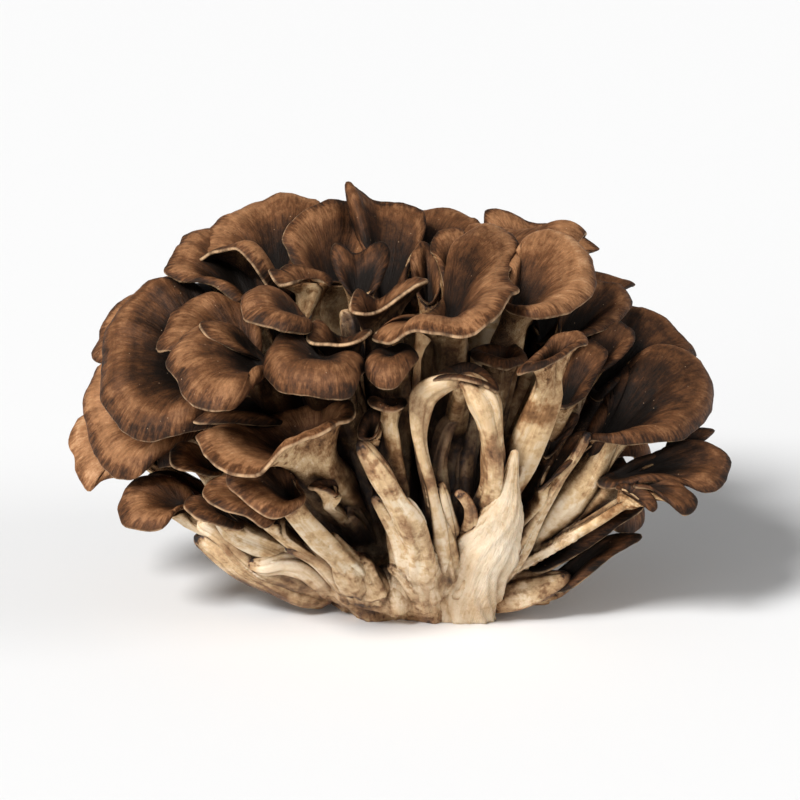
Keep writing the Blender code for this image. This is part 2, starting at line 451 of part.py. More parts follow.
def grown_together():
    """One mesh with the evaluated faces of every draft piece, each in its own scale."""
    bpy.context.view_layer.update()
    graph = bpy.context.evaluated_depsgraph_get()
    joined = bmesh.new()
    for piece in pieces:
        mesh = bpy.data.meshes.new_from_object(piece.evaluated_get(graph))
        mesh.transform(piece.matrix_world)
        joined.from_mesh(mesh)
        bpy.data.meshes.remove(mesh)
    for piece in pieces:
        bpy.data.objects.remove(piece)
    mesh = bpy.data.meshes.new("maitake_cluster")
    joined.to_mesh(mesh)
    joined.free()
    return mesh


def evaluated(obj):
    """The object's mesh with its modifiers applied."""
    bpy.context.view_layer.update()
    old = obj.data
    obj.data = bpy.data.meshes.new_from_object(obj.evaluated_get(bpy.context.evaluated_depsgraph_get()))
    obj.modifiers.clear()
    bpy.data.meshes.remove(old)


def keep_largest_body(mesh):
    """Deletes every connected body but the one with the most faces, so no sealed pocket is left."""
    work = bmesh.new()
    work.from_mesh(mesh)
    left = set(work.verts)
    bodies = []
    while left:
        seed = min(left, key=lambda vert: vert.index)
        body, front = {seed}, [seed]
        while front:
            vert = front.pop()
            for edge in vert.link_edges:
                other = edge.other_vert(vert)
                if other not in body:
                    body.add(other)
                    front.append(other)
        bodies.append(body)
        left -= body
    largest = max(bodies, key=len)
    bmesh.ops.delete(work, geom=[vert for vert in work.verts if vert not in largest], context="VERTS")
    work.to_mesh(mesh)
    work.free()


def cut_flat(mesh):
    """Slices the foot off at the height of the table and closes the cut."""
    work = bmesh.new()
    work.from_mesh(mesh)
    cut = bmesh.ops.bisect_plane(work, geom=work.verts[:] + work.edges[:] + work.faces[:], dist=1e-7,
                                 plane_co=(0, 0, 0), plane_no=(0, 0, 1), clear_inner=True)
    edges = [item for item in cut["geom_cut"] if isinstance(item, bmesh.types.BMEdge)]
    bmesh.ops.contextual_create(work, geom=edges)
    bmesh.ops.triangulate(work, faces=work.faces[:])
    work.to_mesh(mesh)
    work.free()


def centred(mesh):
    """Moves the mesh so that the middle of its box stands over the origin."""
    points = np.empty(len(mesh.vertices) * 3)
    mesh.vertices.foreach_get("co", points)
    points = points.reshape(-1, 3)
    middle = (points.min(axis=0) + points.max(axis=0)) / 2
    points -= [middle[0], middle[1], 0]
    mesh.vertices.foreach_set("co", points.ravel())
    mesh.update()


def flesh_material():
    """Dry brown skin over pale flesh."""
    material = bpy.data.materials.new("maitake_flesh")
    material.use_nodes = True
    shader = material.node_tree.nodes["Principled BSDF"]
    shader.inputs["Base Color"].default_value = (0.30, 0.21, 0.13, 1)
    shader.inputs["Roughness"].default_value = 0.75
    shader.inputs["Metallic"].default_value = 0
    return material


for old in list(bpy.data.objects):
    bpy.data.objects.remove(old)
mushroom = bpy.data.collections.new("maitake")
bpy.context.scene.collection.children.link(mushroom)
drafts = bpy.data.collections.new("drafts")
bpy.context.scene.collection.children.link(drafts)

pieces = []  # every draft that the cluster grows from
foot_object()
for name, (neck, radius, lift, droop, rim) in {**CAPS, **back_caps()}.items():
    hub = cap_object(name, neck, lift, droop, rim)
    stem_object(f"{name}_stem", stem_path(hub, radius, name in TUCKED))
for name, path in STEMS.items():
    stem_object(name, path)
stem_object("torn_face", TORN_FACE, TORN_DEPTH)
stem_object("torn_strip", TORN_STRIP, TORN_DEPTH)

cluster = bpy.data.objects.new("maitake_cluster", grown_together())
mushroom.objects.link(cluster)
skin = cluster.modifiers.new("skin", "REMESH")
skin.mode = "VOXEL"
skin.voxel_size = SKIN_GRAIN * MM
evaluated(cluster)
keep_largest_body(cluster.data)
fewer = cluster.modifiers.new("fewer", "DECIMATE")
fewer.ratio = TRIANGLES / (2 * len(cluster.data.polygons))
evaluated(cluster)
cut_flat(cluster.data)
centred(cluster.data)
cluster.data.materials.append(flesh_material())
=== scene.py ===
"""Maitake mushroom: one cut cluster of thin brown caps on pale branching stems, standing on its cut foot.

Every piece is a skin worked out with numpy: a grid of rings and columns whose points follow a formula in
two parameters. The tables give points in millimetres, +Z up, +X across the front, the front facing -Y.
"""

import math

import bpy
import numpy as np
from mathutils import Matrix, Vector


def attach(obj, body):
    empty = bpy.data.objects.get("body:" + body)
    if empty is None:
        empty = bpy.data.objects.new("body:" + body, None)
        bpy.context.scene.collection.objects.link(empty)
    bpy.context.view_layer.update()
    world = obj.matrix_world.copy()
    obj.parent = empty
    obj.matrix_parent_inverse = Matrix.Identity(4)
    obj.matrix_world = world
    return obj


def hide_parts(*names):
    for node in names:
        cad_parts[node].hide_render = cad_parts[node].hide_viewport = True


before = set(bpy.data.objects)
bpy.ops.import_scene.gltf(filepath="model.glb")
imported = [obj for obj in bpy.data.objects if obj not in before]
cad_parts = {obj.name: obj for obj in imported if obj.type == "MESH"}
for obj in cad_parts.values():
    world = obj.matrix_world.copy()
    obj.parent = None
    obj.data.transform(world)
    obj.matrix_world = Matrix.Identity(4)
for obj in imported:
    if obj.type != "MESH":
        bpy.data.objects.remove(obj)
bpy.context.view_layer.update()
NODE = "maitake_cluster"
MM = 0.001
TO_FRAME = np.array([1.7, -0.6, 0.0])  # the tables' origin as it lies in the frame


# ----------------------------------------------------------------------
# Stems whose caps broke off or never opened, fanning up from the foot in front. Each is a tapering tube of
# firm flesh with lengthwise ribs: cream, fibrous and dry, and browned at its broken tip.

LENGTHWISE = 0.12  # how slowly the grain changes along a fibre beside across it


def linear(code):
    """Linear RGBA of an sRGB hex colour."""
    srgb = np.array([int(code[k:k + 2], 16) for k in (0, 2, 4)]) / 255
    return (*np.where(srgb <= 0.04045, srgb / 12.92, ((srgb + 0.055) / 1.055)**2.4), 1.0)


def add(tree, kind, inputs, out=0, stops=(), **settings):
    """Adds one shader node, sets its properties, and sets or links its inputs, which are named or in the
    order of its sockets (a MapRange's: value, from least, from most, to least, to most). Gives a ramp its
    (position, hex) stops. Returns the output asked for."""
    made = tree.nodes.new("ShaderNode" + kind)
    for key, value in settings.items():
        setattr(made, key, value)
    for key, value in inputs.items() if isinstance(inputs, dict) else enumerate(inputs):
        if isinstance(value, bpy.types.NodeSocket):
            tree.links.new(value, made.inputs[key])
        else:
            made.inputs[key].default_value = value
    for _ in stops[2:]:
        made.color_ramp.elements.new(0.5)
    for k, (position, code) in enumerate(stops):
        made.color_ramp.elements[k].position = position
        made.color_ramp.elements[k].color = linear(code)
    return made.outputs[out]


def unit(v):
    """Vectors made one long."""
    return v / np.maximum(np.linalg.norm(v, axis=-1, keepdims=True), 1e-9)


def waves(angle, rng, counts, sizes):
    """Sum of sine waves round a closed ring, each with a whole number of turns, a size and a random
    phase."""
    phase = rng.uniform(0, 2 * math.pi, len(counts))
    return sum(size * np.sin(count * angle + shift) for count, size, shift in zip(counts, sizes, phase))


def catmull_rom(a, b, c, d, u):
    """Point at share u of the way from b to c, on the cubic curve through four points a, b, c and d."""
    return b + 0.5 * u * (c - a) + u**2 * (a - 2.5 * b + 2 * c - 0.5 * d) \
        + u**3 * (1.5 * (b - c) + 0.5 * (d - a))


def open_spline(points, count):
    """Catmull-Rom curve through the points from first to last, read at even steps of its parameter."""
    p = np.asarray(points, float)
    p = np.vstack([2 * p[:1] - p[1:2], p, 2 * p[-1:] - p[-2:-1]])
    at = np.linspace(0, len(p) - 3, count)
    k = np.minimum(at.astype(int), len(p) - 4)
    return catmull_rom(p[k], p[k + 1], p[k + 2], p[k + 3], (at - k)[:, None])


def ring_quads(rows, columns):
    """Corner numbers of the quads between closed rings, whose points are counted ring by ring."""
    k = np.arange(columns)
    after = np.roll(k, -1)
    low = (np.arange(rows - 1) * columns)[:, None]
    high = low + columns
    return np.stack([low + k, low + after, high + after, high + k], axis=-1).reshape(-1, 4)


def mark(mesh, key, value):
    """Keeps a number or a vector for each point of a mesh as an attribute, which the material reads."""
    vector = value.size == 3 * len(value)
    layer = mesh.attributes.new(key, "FLOAT_VECTOR" if vector else "FLOAT", "POINT")
    layer.data.foreach_set("vector" if vector else "value", value.ravel())


def piece_of_cluster(name, mesh, material):
    """Makes a mesh a smooth piece of the cluster."""
    mesh.materials.append(material)
    mesh.shade_smooth()
    piece = bpy.data.objects.new(name, mesh)
    bpy.context.scene.collection.objects.link(piece)
    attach(piece, "root")
    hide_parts(NODE)


def grown(name, rings, marks, material):
    """A closed skin from rings of points (rows, columns, xyz) in millimetres: quads between the rings, and
    a fan to a middle point at each end. Marks are named values for every point of the grid, kept as
    attributes."""
    rows, columns = rings.shape[:2]
    points = np.vstack([rings.reshape(-1, 3), rings[[0, -1]].mean(axis=1)]) + TO_FRAME
    k = np.arange(columns)
    after = np.roll(k, -1)
    first, last, top = rows * columns, rows * columns + 1, (rows - 1) * columns
    fans = np.vstack([np.stack([after, k, np.full(columns, first)], axis=1),
                      np.stack([top + k, top + after, np.full(columns, last)], axis=1)])
    mesh = bpy.data.meshes.new(name)
    mesh.from_pydata((points * MM).tolist(), [], ring_quads(rows, columns).tolist() + fans.tolist())
    for key, value in marks.items():
        value = np.asarray(value, float)
        ends = value[[0, -1]].reshape(2, columns, -1).mean(axis=1)
        mark(mesh, key, np.concatenate([value.reshape(rows * columns, -1), ends]))
    piece_of_cluster(name, mesh, material)


def total(tree, first, *terms):
    """The first value plus each (value, weight) product."""
    for value, weight in terms:
        first = add(tree, "Math", (value, weight, first), operation="MULTIPLY_ADD")
    return first


def flesh(tree, stain, lightness, stops, blotched=1.0):
    """Colour and height of stem flesh. Its lightness varies with fibres that run lengthwise, wider streaks
    and round patches. It falls with the stain, and with painted shade in closed gaps between pieces,
    though less so towards the cut at the foot, where the flesh is also a little lighter."""
    grain = add(tree, "Attribute", (), "Vector", attribute_name="grain")
    place = add(tree, "TexCoord", (), "Object")
    fibres = add(tree, "TexNoise", {"Vector": grain, "Scale": 0.9, "Detail": 6, "Roughness": 0.62})
    streaks = add(tree, "TexNoise", {"Vector": grain, "Scale": 0.25, "Detail": 4, "Roughness": 0.65})
    patches = add(tree, "TexNoise", {"Vector": place, "Scale": 75, "Detail": 5, "Roughness": 0.62})
    blotch = add(tree, "MapRange", (patches, 0.36, 0.56, -0.30, 0.08))
    # Painted shade: lightness falls where ambient occlusion within 30 mm is low, in the gaps between and
    # under pieces. It is scaled down within 20 mm of the floor, and the flesh is a little lighter below 60
    # mm.
    open_air = add(tree, "AmbientOcclusion", {"Distance": 0.030}, "AO", samples=6)
    gap = add(tree, "MapRange", (open_air, 0.10, 0.58, -1.0, 0.0))
    height = add(tree, "SeparateXYZ", {"Vector": place}, "Z")
    shade_above_floor = add(tree, "MapRange", (height, 0.0, 0.020, 0.15, 1.0))
    pale = add(tree, "MapRange", (height, 0.015, 0.060, 0.15, -0.03))
    painted_shade = add(tree, "Math", (gap, shade_above_floor, pale), operation="MULTIPLY_ADD")
    freckle = add(tree, "TexNoise", {"Vector": place, "Scale": 420, "Detail": 4, "Roughness": 0.6})
    spots = add(tree, "MapRange", (freckle, 0.50, 0.64, -0.35, -1.1))
    light = total(tree, painted_shade, (fibres, 0.42), (streaks, 0.38), (blotch, blotched), (stain, spots))
    light = add(tree, "Math", (light, lightness - 0.34), operation="ADD")
    return add(tree, "ValToRGB", {"Fac": light}, stops=stops), fibres


FLESH_TONES = ((0.0, "180b04"), (0.22, "4b2d15"), (0.45, "8f6843"), (0.70, "ccac81"), (1.0, "f0e3cc"))


def new_material(name):
    """An empty node material: its tree and its shader."""
    made = bpy.data.materials.new(name)
    made.use_nodes = True
    return made, made.node_tree, made.node_tree.nodes["Principled BSDF"]


def stem_flesh(name, lightness, stops, relief, blotched=1.0):
    """Mushroom stem flesh: firm, fibrous and dry, so it scatters light softly and has no gloss."""
    made, tree, shader = new_material(name)
    stain = add(tree, "Attribute", (), "Fac", attribute_name="stain")
    colour, height = flesh(tree, stain, lightness, stops, blotched)
    bump = add(tree, "Bump", {"Height": height, "Strength": 0.8, "Distance": relief})
    tree.links.new(colour, shader.inputs["Base Color"])
    tree.links.new(bump, shader.inputs["Normal"])
    shader.inputs["Roughness"].default_value = 0.62
    shader.inputs["Subsurface Weight"].default_value = 0.08
    shader.inputs["Subsurface Scale"].default_value = 0.002
    return made


STEM_FLESH = stem_flesh("mushroom_stem_flesh", 0.68, FLESH_TONES, 0.0003)


# name: (how brown the tip is, how soiled the rest, points from the tip down as x, y, z and radius)
STEMS = {
    "arch_left_leg": (0.5, 0.12, [
        (18, -54, 83.5, 1.6), (12, -55, 82.4, 3), (7.2, -55, 79.5, 3.5), (5.8, -55, 74.5, 2.7),
        (5.4, -54, 67, 2.1), (6.6, -52, 59, 1.9), (8.5, -49, 50.5, 2.1), (10.5, -44, 40, 2.6),
        (13, -37, 27.5, 3.5), (15, -28, 16, 4.2)]),
    "arch_right_leg": (0.5, 0.16, [
        (16, -54, 83.5, 1.6), (20, -54, 82, 3.2), (23.6, -54, 77, 4.2), (25.4, -54, 71.5, 3.8),
        (26.4, -53, 65, 3.4), (27, -50, 57, 3.3), (26.6, -45.5, 49, 3.3), (25, -38, 40, 3.7),
        (22.5, -29, 28.5, 4.6)]),
    "arch_ribbon": (0.8, 0.12, [
        (11.5, -47, 51, 0.9), (13, -46, 45, 1.5), (14.5, -40, 36.5, 1.8), (16, -30, 25.5, 2.4),
        (17, -22, 15, 2.6)]),
    "back_reed": (0.5, 0.12, [
        (17, -40, 68, 1), (14, -40, 66, 2), (12, -40, 60, 2.3), (11.3, -40, 54, 2.1), (12.5, -39, 46, 2),
        (15, -35, 32, 2.2)]),
    "back_stalk": (0.6, 0.3, [
        (21, -30, 67, 2.7), (19, -32, 59, 3.9), (17, -34, 51, 4.2), (17, -30, 25, 5)]),
    "thin_horn": (1.2, 0.2, [
        (16, -46, 47.6, 1), (18.5, -46, 46, 1.3), (20.5, -44, 42, 1.5), (21, -39, 36, 2), (20, -31, 29, 3)]),
    "tan_leaf": (0.5, 0.4, [
        (-17, -31, 98, 1), (-15, -31, 95.5, 2.3), (-14, -31, 91, 2.6), (-12, -27, 80, 2.6)]),
    "left_reed": (1.0, 0.22, [
        (-12, -58, 66.5, 1), (-9.8, -58, 63.5, 2.6), (-5.5, -57, 56, 3.3), (-1.5, -54, 47.5, 3.4),
        (2, -50, 40.5, 3.8), (5, -43.5, 31, 4.2), (7, -35, 19.5, 4.8), (9, -27, 10, 5.5)]),
    "left_horn": (1.5, 0.22, [
        (-8.4, -48, 46.4, 1.1), (-6, -48, 45, 1.6), (-2, -46, 38.5, 2.4), (1.7, -42, 30.5, 3.4),
        (5, -36, 19.5, 4.5)]),
    "low_horn": (1.0, 0.3, [
        (-3.5, -33, 21.5, 1.4), (0.6, -33, 18.7, 2), (4.7, -31, 13.5, 2.6), (7, -26, 9, 3)]),
    "broken_stub": (1.6, 0.28, [
        (-19.5, -38, 32, 2.6), (-18.3, -38, 27, 3), (-15.5, -34, 20, 4), (-11, -28, 10, 5)]),
    "pale_stub": (0.9, 0.2, [(-12.5, -35, 25, 3), (-11, -32, 18.5, 4.5), (-7.5, -27, 9, 6)]),
    "base_knob": (0.6, 0.28, [(-4, -27, 19, 6), (-2.5, -23, 11, 8.5), (-2, -20, 6, 9)]),
    "low_stub": (1.6, 0.12, [
        (-34, -32, 27, 1.7), (-28.6, -32, 25.7, 2.8), (-23, -31, 22, 3.2), (-17.5, -28, 15.5, 3.6),
        (-14, -24, 8.5, 4)]),
    "low_curl": (1.6, 0.12, [
        (-45, -27, 19.6, 1.5), (-40, -27, 19.3, 2.8), (-34.5, -26, 20, 3.3), (-28.5, -25, 18.4, 3.7),
        (-24, -23, 14, 3.9), (-21, -20, 9, 4)]),
    "low_fold": (0.3, 0.12, [
        (-60, -22, 31.5, 2.3), (-52.5, -22, 27, 2.8), (-47, -22, 21, 2.9), (-40.5, -22, 16, 3.2),
        (-32.5, -20, 13, 3.7), (-24, -16, 8.5, 4)]),
    "outer_fold": (1.5, 0.12, [
        (-61.5, -16, 25, 1.7), (-55, -17, 22, 3), (-47, -18, 15.6, 3.5), (-38, -18, 11.5, 4),
        (-29.5, -16, 6.8, 4.2), (-22, -12, 4.8, 4.5)]),
    "edge_reed": (1.0, 0.3, [
        (55, -37, 63, 1.2), (51, -38, 56, 1.5), (46, -38, 49, 1.9), (41, -36, 39, 2.2),
        (34, -31, 24, 2.8), (27, -24, 12, 3.5)]),
    "low_right_trunk": (1.4, 0.3, [
        (51, -22, 14.5, 1.8), (46, -22, 12.5, 3.6), (40, -21, 10.5, 5), (32, -18, 9, 6), (20, -10, 7, 6)]),
}


def along(path):
    """Distance along a path from its first point."""
    return np.r_[0, np.cumsum(np.linalg.norm(np.diff(path, axis=0), axis=1))]


def frames(path):
    """Side and front directions square to a path at each of its points, the front facing -Y."""
    ahead = unit(np.gradient(path, axis=0))
    side = unit(np.cross(ahead, [0.15, 1.0, 0.1]))
    return side, np.cross(side, ahead)


def tube(path, radius, angle, rib=0, depth=0.9):
    """Rings round a path: each lies square to the path, and its point at an angle stands off by the radius,
    which is scaled by the depth from front to back."""
    side, front = frames(path)
    reach = radius[:, None] + rib
    return path[:, None] + (1.1 * reach * np.cos(angle))[..., None] * side[:, None] \
        + (depth * reach * np.sin(angle))[..., None] * front[:, None]


stem_lines = []  # path and radius of each stem's lower part, which the trunk takes in
STEM_RIBS = ((2, 3, 5, 9), (0.12, 0.09, 0.06, 0.03))  # how many round, and their height by the radius
STEM_COLUMNS, STEM_ROWS = 56, 76
STEM_KNOBS = (0.05, 3.1)  # height by the radius of the waves along a stem, and mm of stem to their radian
BROWNED_LENGTH = 4.5  # mm from the tip


def plain_stem(name, browned, soiled, points, seed, material=STEM_FLESH, ribs=STEM_RIBS, depth=0.9,
               root=0.5):
    """A tube along a smooth path, thicker to the root, with ribs that wander round it and a rounded tip.
    The root thins again where it sinks into the trunk."""
    rng = np.random.default_rng(seed)
    spine = open_spline(points[::-1], STEM_ROWS)
    path, radius = spine[:, :3], spine[:, 3]
    run = along(path)
    left = run[-1] - run
    tip = np.sqrt(np.clip(1 - (1 - np.clip(left / (1.2 * radius[-1]), 0, 1))**2, 0.02, 1))
    sunk = np.clip(root + 2.5 * run / run[-1], 0, 1)
    angle = np.linspace(0, 2 * math.pi, STEM_COLUMNS, endpoint=False)
    wander = 0.5 * np.sin(run / 11 + rng.uniform(0, 6))[:, None]
    rib = waves(angle + wander, rng, *ribs) * radius[:, None]
    knob_height, knob_length = STEM_KNOBS
    rib += knob_height * radius[:, None] * np.sin(run / knob_length + rng.uniform(0, 6))[:, None]
    rings = tube(path, radius * tip * sunk, angle, rib * tip[:, None], depth)
    rings[..., 2] = np.maximum(rings[..., 2], 0)
    lengthwise = np.repeat(LENGTHWISE * run[:, None], STEM_COLUMNS, axis=1)
    across = radius[:, None]
    grain = np.stack([across * np.cos(angle), across * np.sin(angle), lengthwise], axis=-1)
    stain = np.maximum(browned * (1 - left / BROWNED_LENGTH), soiled)
    stain = np.repeat(stain[:, None], STEM_COLUMNS, axis=1)
    grown(name, rings, {"grain": grain + rng.uniform(0, 90, 3), "stain": stain}, material)
    low = run < 0.8 * run[-1]
    stem_lines.append((path[low], radius[low] * (depth - 0.08)))


for number, (name, (browned, soiled, points)) in enumerate(STEMS.items()):
    plain_stem(name, browned, soiled, points, 40 + number)


# ----------------------------------------------------------------------
# The torn face: in front a strip of the outer flesh was pulled off, down to the cut. It leaves a broad face
# of white, grooved fibres that narrows upwards to a spike, and a smaller tear beside it.

TORN_TONES = ((0.0, "6b4a2a"), (0.30, "b18d60"), (0.52, "d6bf9f"), (1.0, "f3e8d6"))
TORN_RIBS = ((5, 9, 15, 27), (0.03, 0.035, 0.045, 0.03))
TORN_FACE = [
    (33.2, -52, 62, 0.9), (32.7, -51.5, 58.8, 1.4), (31.8, -49.5, 52.5, 2.5), (31.2, -46.5, 45.8, 3.6),
    (29.4, -42.5, 38.8, 6.1), (26.9, -37, 31.4, 8), (23.8, -32, 24, 9.2), (21.4, -28, 17, 9.4),
    (19, -23.5, 9.5, 9.4), (18, -18, 0, 10)]
TORN_STRIP = [(1.4, -52, 47.6, 0.8), (3, -52, 45, 1.6), (5, -49.5, 40.5, 1.7), (7, -46, 36, 1.2)]

# Torn mushroom flesh: white, dry and fibrous, with ochre streaks between bundles of fibres, and painted
# shade in closed grooves and gaps, as on the stems.
TORN_FLESH = stem_flesh("mushroom_torn_flesh", 0.52, TORN_TONES, 0.0008, 0.3)
plain_stem("torn_face", 0, 0.12, TORN_FACE, 60, TORN_FLESH, TORN_RIBS, 0.55, 1)
plain_stem("torn_strip", 0, 0.12, TORN_STRIP, 61, TORN_FLESH, TORN_RIBS, 0.5)


# ----------------------------------------------------------------------
# The crown: broad fans and funnels at the top and back, whose velvety brown upper sides face the front. A
# cap is one thin sheet of flesh, skinned brown above, pored and cream below, that runs down into its own
# pale stem.

TOP_ROWS, UNDER_ROWS, MARGIN_ROWS, FILLET_ROWS, CAP_STEM_ROWS = 24, 12, 5, 5, 12
COLUMN_WIDTH = 1.35  # mm of rim to a column
CAP_COLUMNS = (52, 160)  # fewest and most
RIM_THICKNESS = 1.3
CORE_THICKNESS = 3.2
FOOT_CENTRE = np.array([4.0, -4.0, 0.0])
ROOT_RADIUS = (1.0, 1.2, 6.5)  # this much, and this many times the neck's radius, and at most
ROOT_TAPER = 0.7  # power of the way along: a stem thins quickly near its root
ROOT_HEIGHT = 11.0
ROOT_SPREAD = (0.30, 0.44)  # how far from the foot's centre a stem starts, as a share of its cap's distance
STEM_BEND = (0.65, 0.55)  # where a stem's curve pulls to on its way to the neck, across and up
TUCKED_SPREAD, TUCKED_BEND = 0.2, 0.15  # the same from front to back, for a stem that bends back
STEM_SUNK = 0.72  # share of the stem that the trunk takes in
STEM_START = 0.45  # share of the stem at which a cap's own skin starts
FILLET_LENGTH = 1.7  # by the stem's radius
CAP_STEM_RIBS = ((2, 3, 5), (0.14, 0.10, 0.06))
SPOKE_HANDLE = 0.36  # how far a spoke holds its direction at each end, as a share of its length
HUB_SHARES = np.linspace(0, 0.6, 13)  # tried in turn, of the way from the neck to the rim's middle
RIM_LOBES = (21, 12, 7, 4)  # mm from crest to crest
LOBE_OUT = (0.35, 0.15, 0.09, 0.05)
LOBE_UP = (0.5, 0.2, 0.10, 0.05)
PLEATS = ((9, 5, 3), (0.22, 0.14, 0.09))  # mm of rim to a pleat, and their height
WIDE_SWELL, FINE_SWELL = 0.35, 0.22
THINNING = 1.4  # power of the way in: the flesh stays thin near the rim
FIBRIL = 0.35  # how slowly a cap's fibrils change outwards beside round it
UPRIGHT = 0.7  # how far the flesh's thickness is measured straight down and not square to the sheet
ROLL_WIDTH = (0.42, 9.0)  # share of the reach that rolls over, and its most in mm
ROLL_HEIGHT = 0.42  # of the rolled width, on a cap that droops by the full angle or more
ROLL_FULL_DROOP = 40

# name: (neck point, stem radius at the neck, lift and droop of the sheet in degrees, rim points)
CROWN = {
    "crown_right_wall": ((37, 30, 85), 4.5, -8, 20, [
        (26, 52, 106), (28, 58, 109), (38, 58, 106), (50, 58, 103), (60, 56, 99), (62, 54, 97),
        (54, 46, 95), (43, 30, 87), (36, 28, 86), (28, 42, 98)]),
    "crown_notch": ((21, 24, 91), 3.5, -8, 20, [
        (15, 46, 102), (15, 50, 105), (18, 52, 107), (24, 50, 107), (27, 42, 101), (23, 26, 93),
        (19, 26, 92)]),
    "crown_left_fan": ((-34, 6, 90), 5, 12, 25, [
        (-61, 12, 104), (-57, 30, 110), (-50, 41, 112), (-37, 48, 115), (-25, 46, 113), (-26, 38, 108),
        (-30, 26, 102), (-31, 12, 98), (-32, 2, 96), (-35, -5, 96), (-40, -9, 102), (-47, -7, 111),
        (-52, -2, 110), (-57, 5, 107)]),
    "left_shoulder": ((-41, 0, 87), 4.5, 12, 25, [
        (-70, 5, 102), (-67, 0, 100), (-63, -3, 100), (-55, -6, 100), (-48, -10, 95), (-41, -3, 93),
        (-41, 6, 98), (-45, 20, 105), (-51, 32, 107), (-63, 30, 108), (-67, 20, 106)]),
    "crown_mid_petal": ((-19, 7, 93), 4, -5, 15, [
        (-35, 10, 111), (-30.5, 20, 115), (-24, 30, 117), (-17, 36, 116.5), (-13, 38, 114),
        (-11, 28, 109), (-11, 16, 103), (-14, 6, 99), (-22, 2, 99), (-30, 3, 103), (-33, 6, 107)]),
    "crown_peak": ((-4, 8, 89), 4.5, -5, 15, [
        (-17, 33, 121.5), (-15.5, 35, 122), (-12, 40, 118.5), (-5, 42, 114.5), (5, 40, 113.5),
        (8, 36, 111), (7, 28, 106), (3, 16, 101), (1, 8, 96), (-6, 4, 92), (-10, 13, 98),
        (-13.5, 24, 108), (-16, 30, 116)]),
    "heart_cap": ((-12, -14, 95), 3, -5, 20, [
        (-17, -15, 102), (-20, -10, 107), (-20, -6, 111), (-18, -5, 112), (-13, -4, 109), (-8, -4, 112),
        (-5, -4, 112), (-3, -6, 109), (-4, -10, 105), (-7, -14, 100), (-13, -16, 98)]),
    "trumpet_flap": ((16, -4, 90), 3.5, 0, 20, [
        (14, -8, 98), (11, 2, 106), (9, 8, 108), (12, 16, 111), (19, 18, 111), (21, 10, 107),
        (19, 0, 100), (17, -6, 95)]),
    "great_trumpet": ((10, -41, 82), 6.5, 38, 18, [
        (-8, -52, 95), (-3, -58, 96), (3, -62, 100), (11, -65, 100), (20, -65, 100), (27, -58, 103),
        (31, -46, 106), (34, -38, 106), (31.5, -28, 107), (33, -8, 107), (36, 2, 108), (33, 11, 112),
        (26, 14, 113), (18, 4, 111), (15, -8, 104), (14, -16, 100), (7, -36, 98), (-4, -49, 98)]),
    "right_fan": ((32, -24, 94), 5, 5, 30, [
        (37, 8, 108), (42, 12, 110), (50, 10, 111), (55, 3, 108), (58, -8, 104), (56, -20, 100),
        (48, -33, 98), (39, -39, 98), (31, -34, 99), (30, -28, 101), (31, -20, 103), (33, -6, 106)]),
    "inner_petal": ((9, 0, 87), 3, -5, 15, [
        (3, 8, 104), (5, 12, 107), (7, 16, 108), (10, 14, 106), (12, 8, 103), (12, 0, 97), (9, -2, 93),
        (5, 0, 96)]),
}


def closed_spline(points, count):
    """Catmull-Rom curve through a ring of points, read at even steps of its length."""
    p = np.asarray(points, float)
    u = np.linspace(0, 1, 24, endpoint=False)[None, :, None]
    fine = catmull_rom(*(np.roll(p, k, axis=0)[:, None] for k in (1, 0, -1, -2)), u).reshape(-1, 3)
    ring = np.vstack([fine, fine[:1]])
    run = along(ring)
    at = np.linspace(0, run[-1], count, endpoint=False)
    return np.stack([np.interp(at, run, ring[:, k]) for k in range(3)], axis=1), run[-1]


def spokes(neck, lift, droop, rim, axis, s):
    """Points of a sheet at share s of the way from neck to rim: each spoke is a cubic curve that leaves the
    neck at the lift angle above level and meets the rim at the droop angle below it, level being square to
    the axis."""
    spoke = rim - neck
    reach = np.linalg.norm(spoke, axis=1, keepdims=True)
    level = unit(spoke - (spoke @ axis)[:, None] * axis)
    leaving = math.cos(lift) * level + math.sin(lift) * axis
    meeting = math.cos(droop) * level - math.sin(droop) * axis
    near = neck + SPOKE_HANDLE * reach * leaving
    far = rim - SPOKE_HANDLE * reach * meeting
    s = s[..., None]
    return (1 - s)**3 * neck + 3 * s * (1 - s)**2 * near + 3 * s**2 * (1 - s) * far + s**3 * rim


def upward(sheet, s, axis):
    """Unit normals of a grid of points on the upper side: the way out, along rising s, crossed with the way
    round, and held above level, which is square to the axis."""
    way_round = np.roll(sheet, -1, axis=1) - np.roll(sheet, 1, axis=1)
    way_out = np.gradient(sheet, axis=0) * np.sign(s[-1, 0] - s[0, 0])
    normal = unit(np.cross(way_out, way_round))
    return unit(normal + np.maximum(0.12 - normal @ axis, 0)[..., None] * axis)


def hub_of(neck, rim, axis):
    """Where the spokes meet: the neck or, where the rim doubles back beside it, as little of the way to the
    rim's middle as lets every spoke turn the same way."""
    tries = neck + HUB_SHARES[:, None] * (rim.mean(axis=0) - neck)
    flat = [unit((rim - hub) - ((rim - hub) @ axis)[:, None] * axis) for hub in tries]
    turned_back = [(np.cross(ray, np.roll(ray, -1, axis=0)) @ axis <= 0).sum() for ray in flat]
    return tries[int(np.argmin(turned_back))]


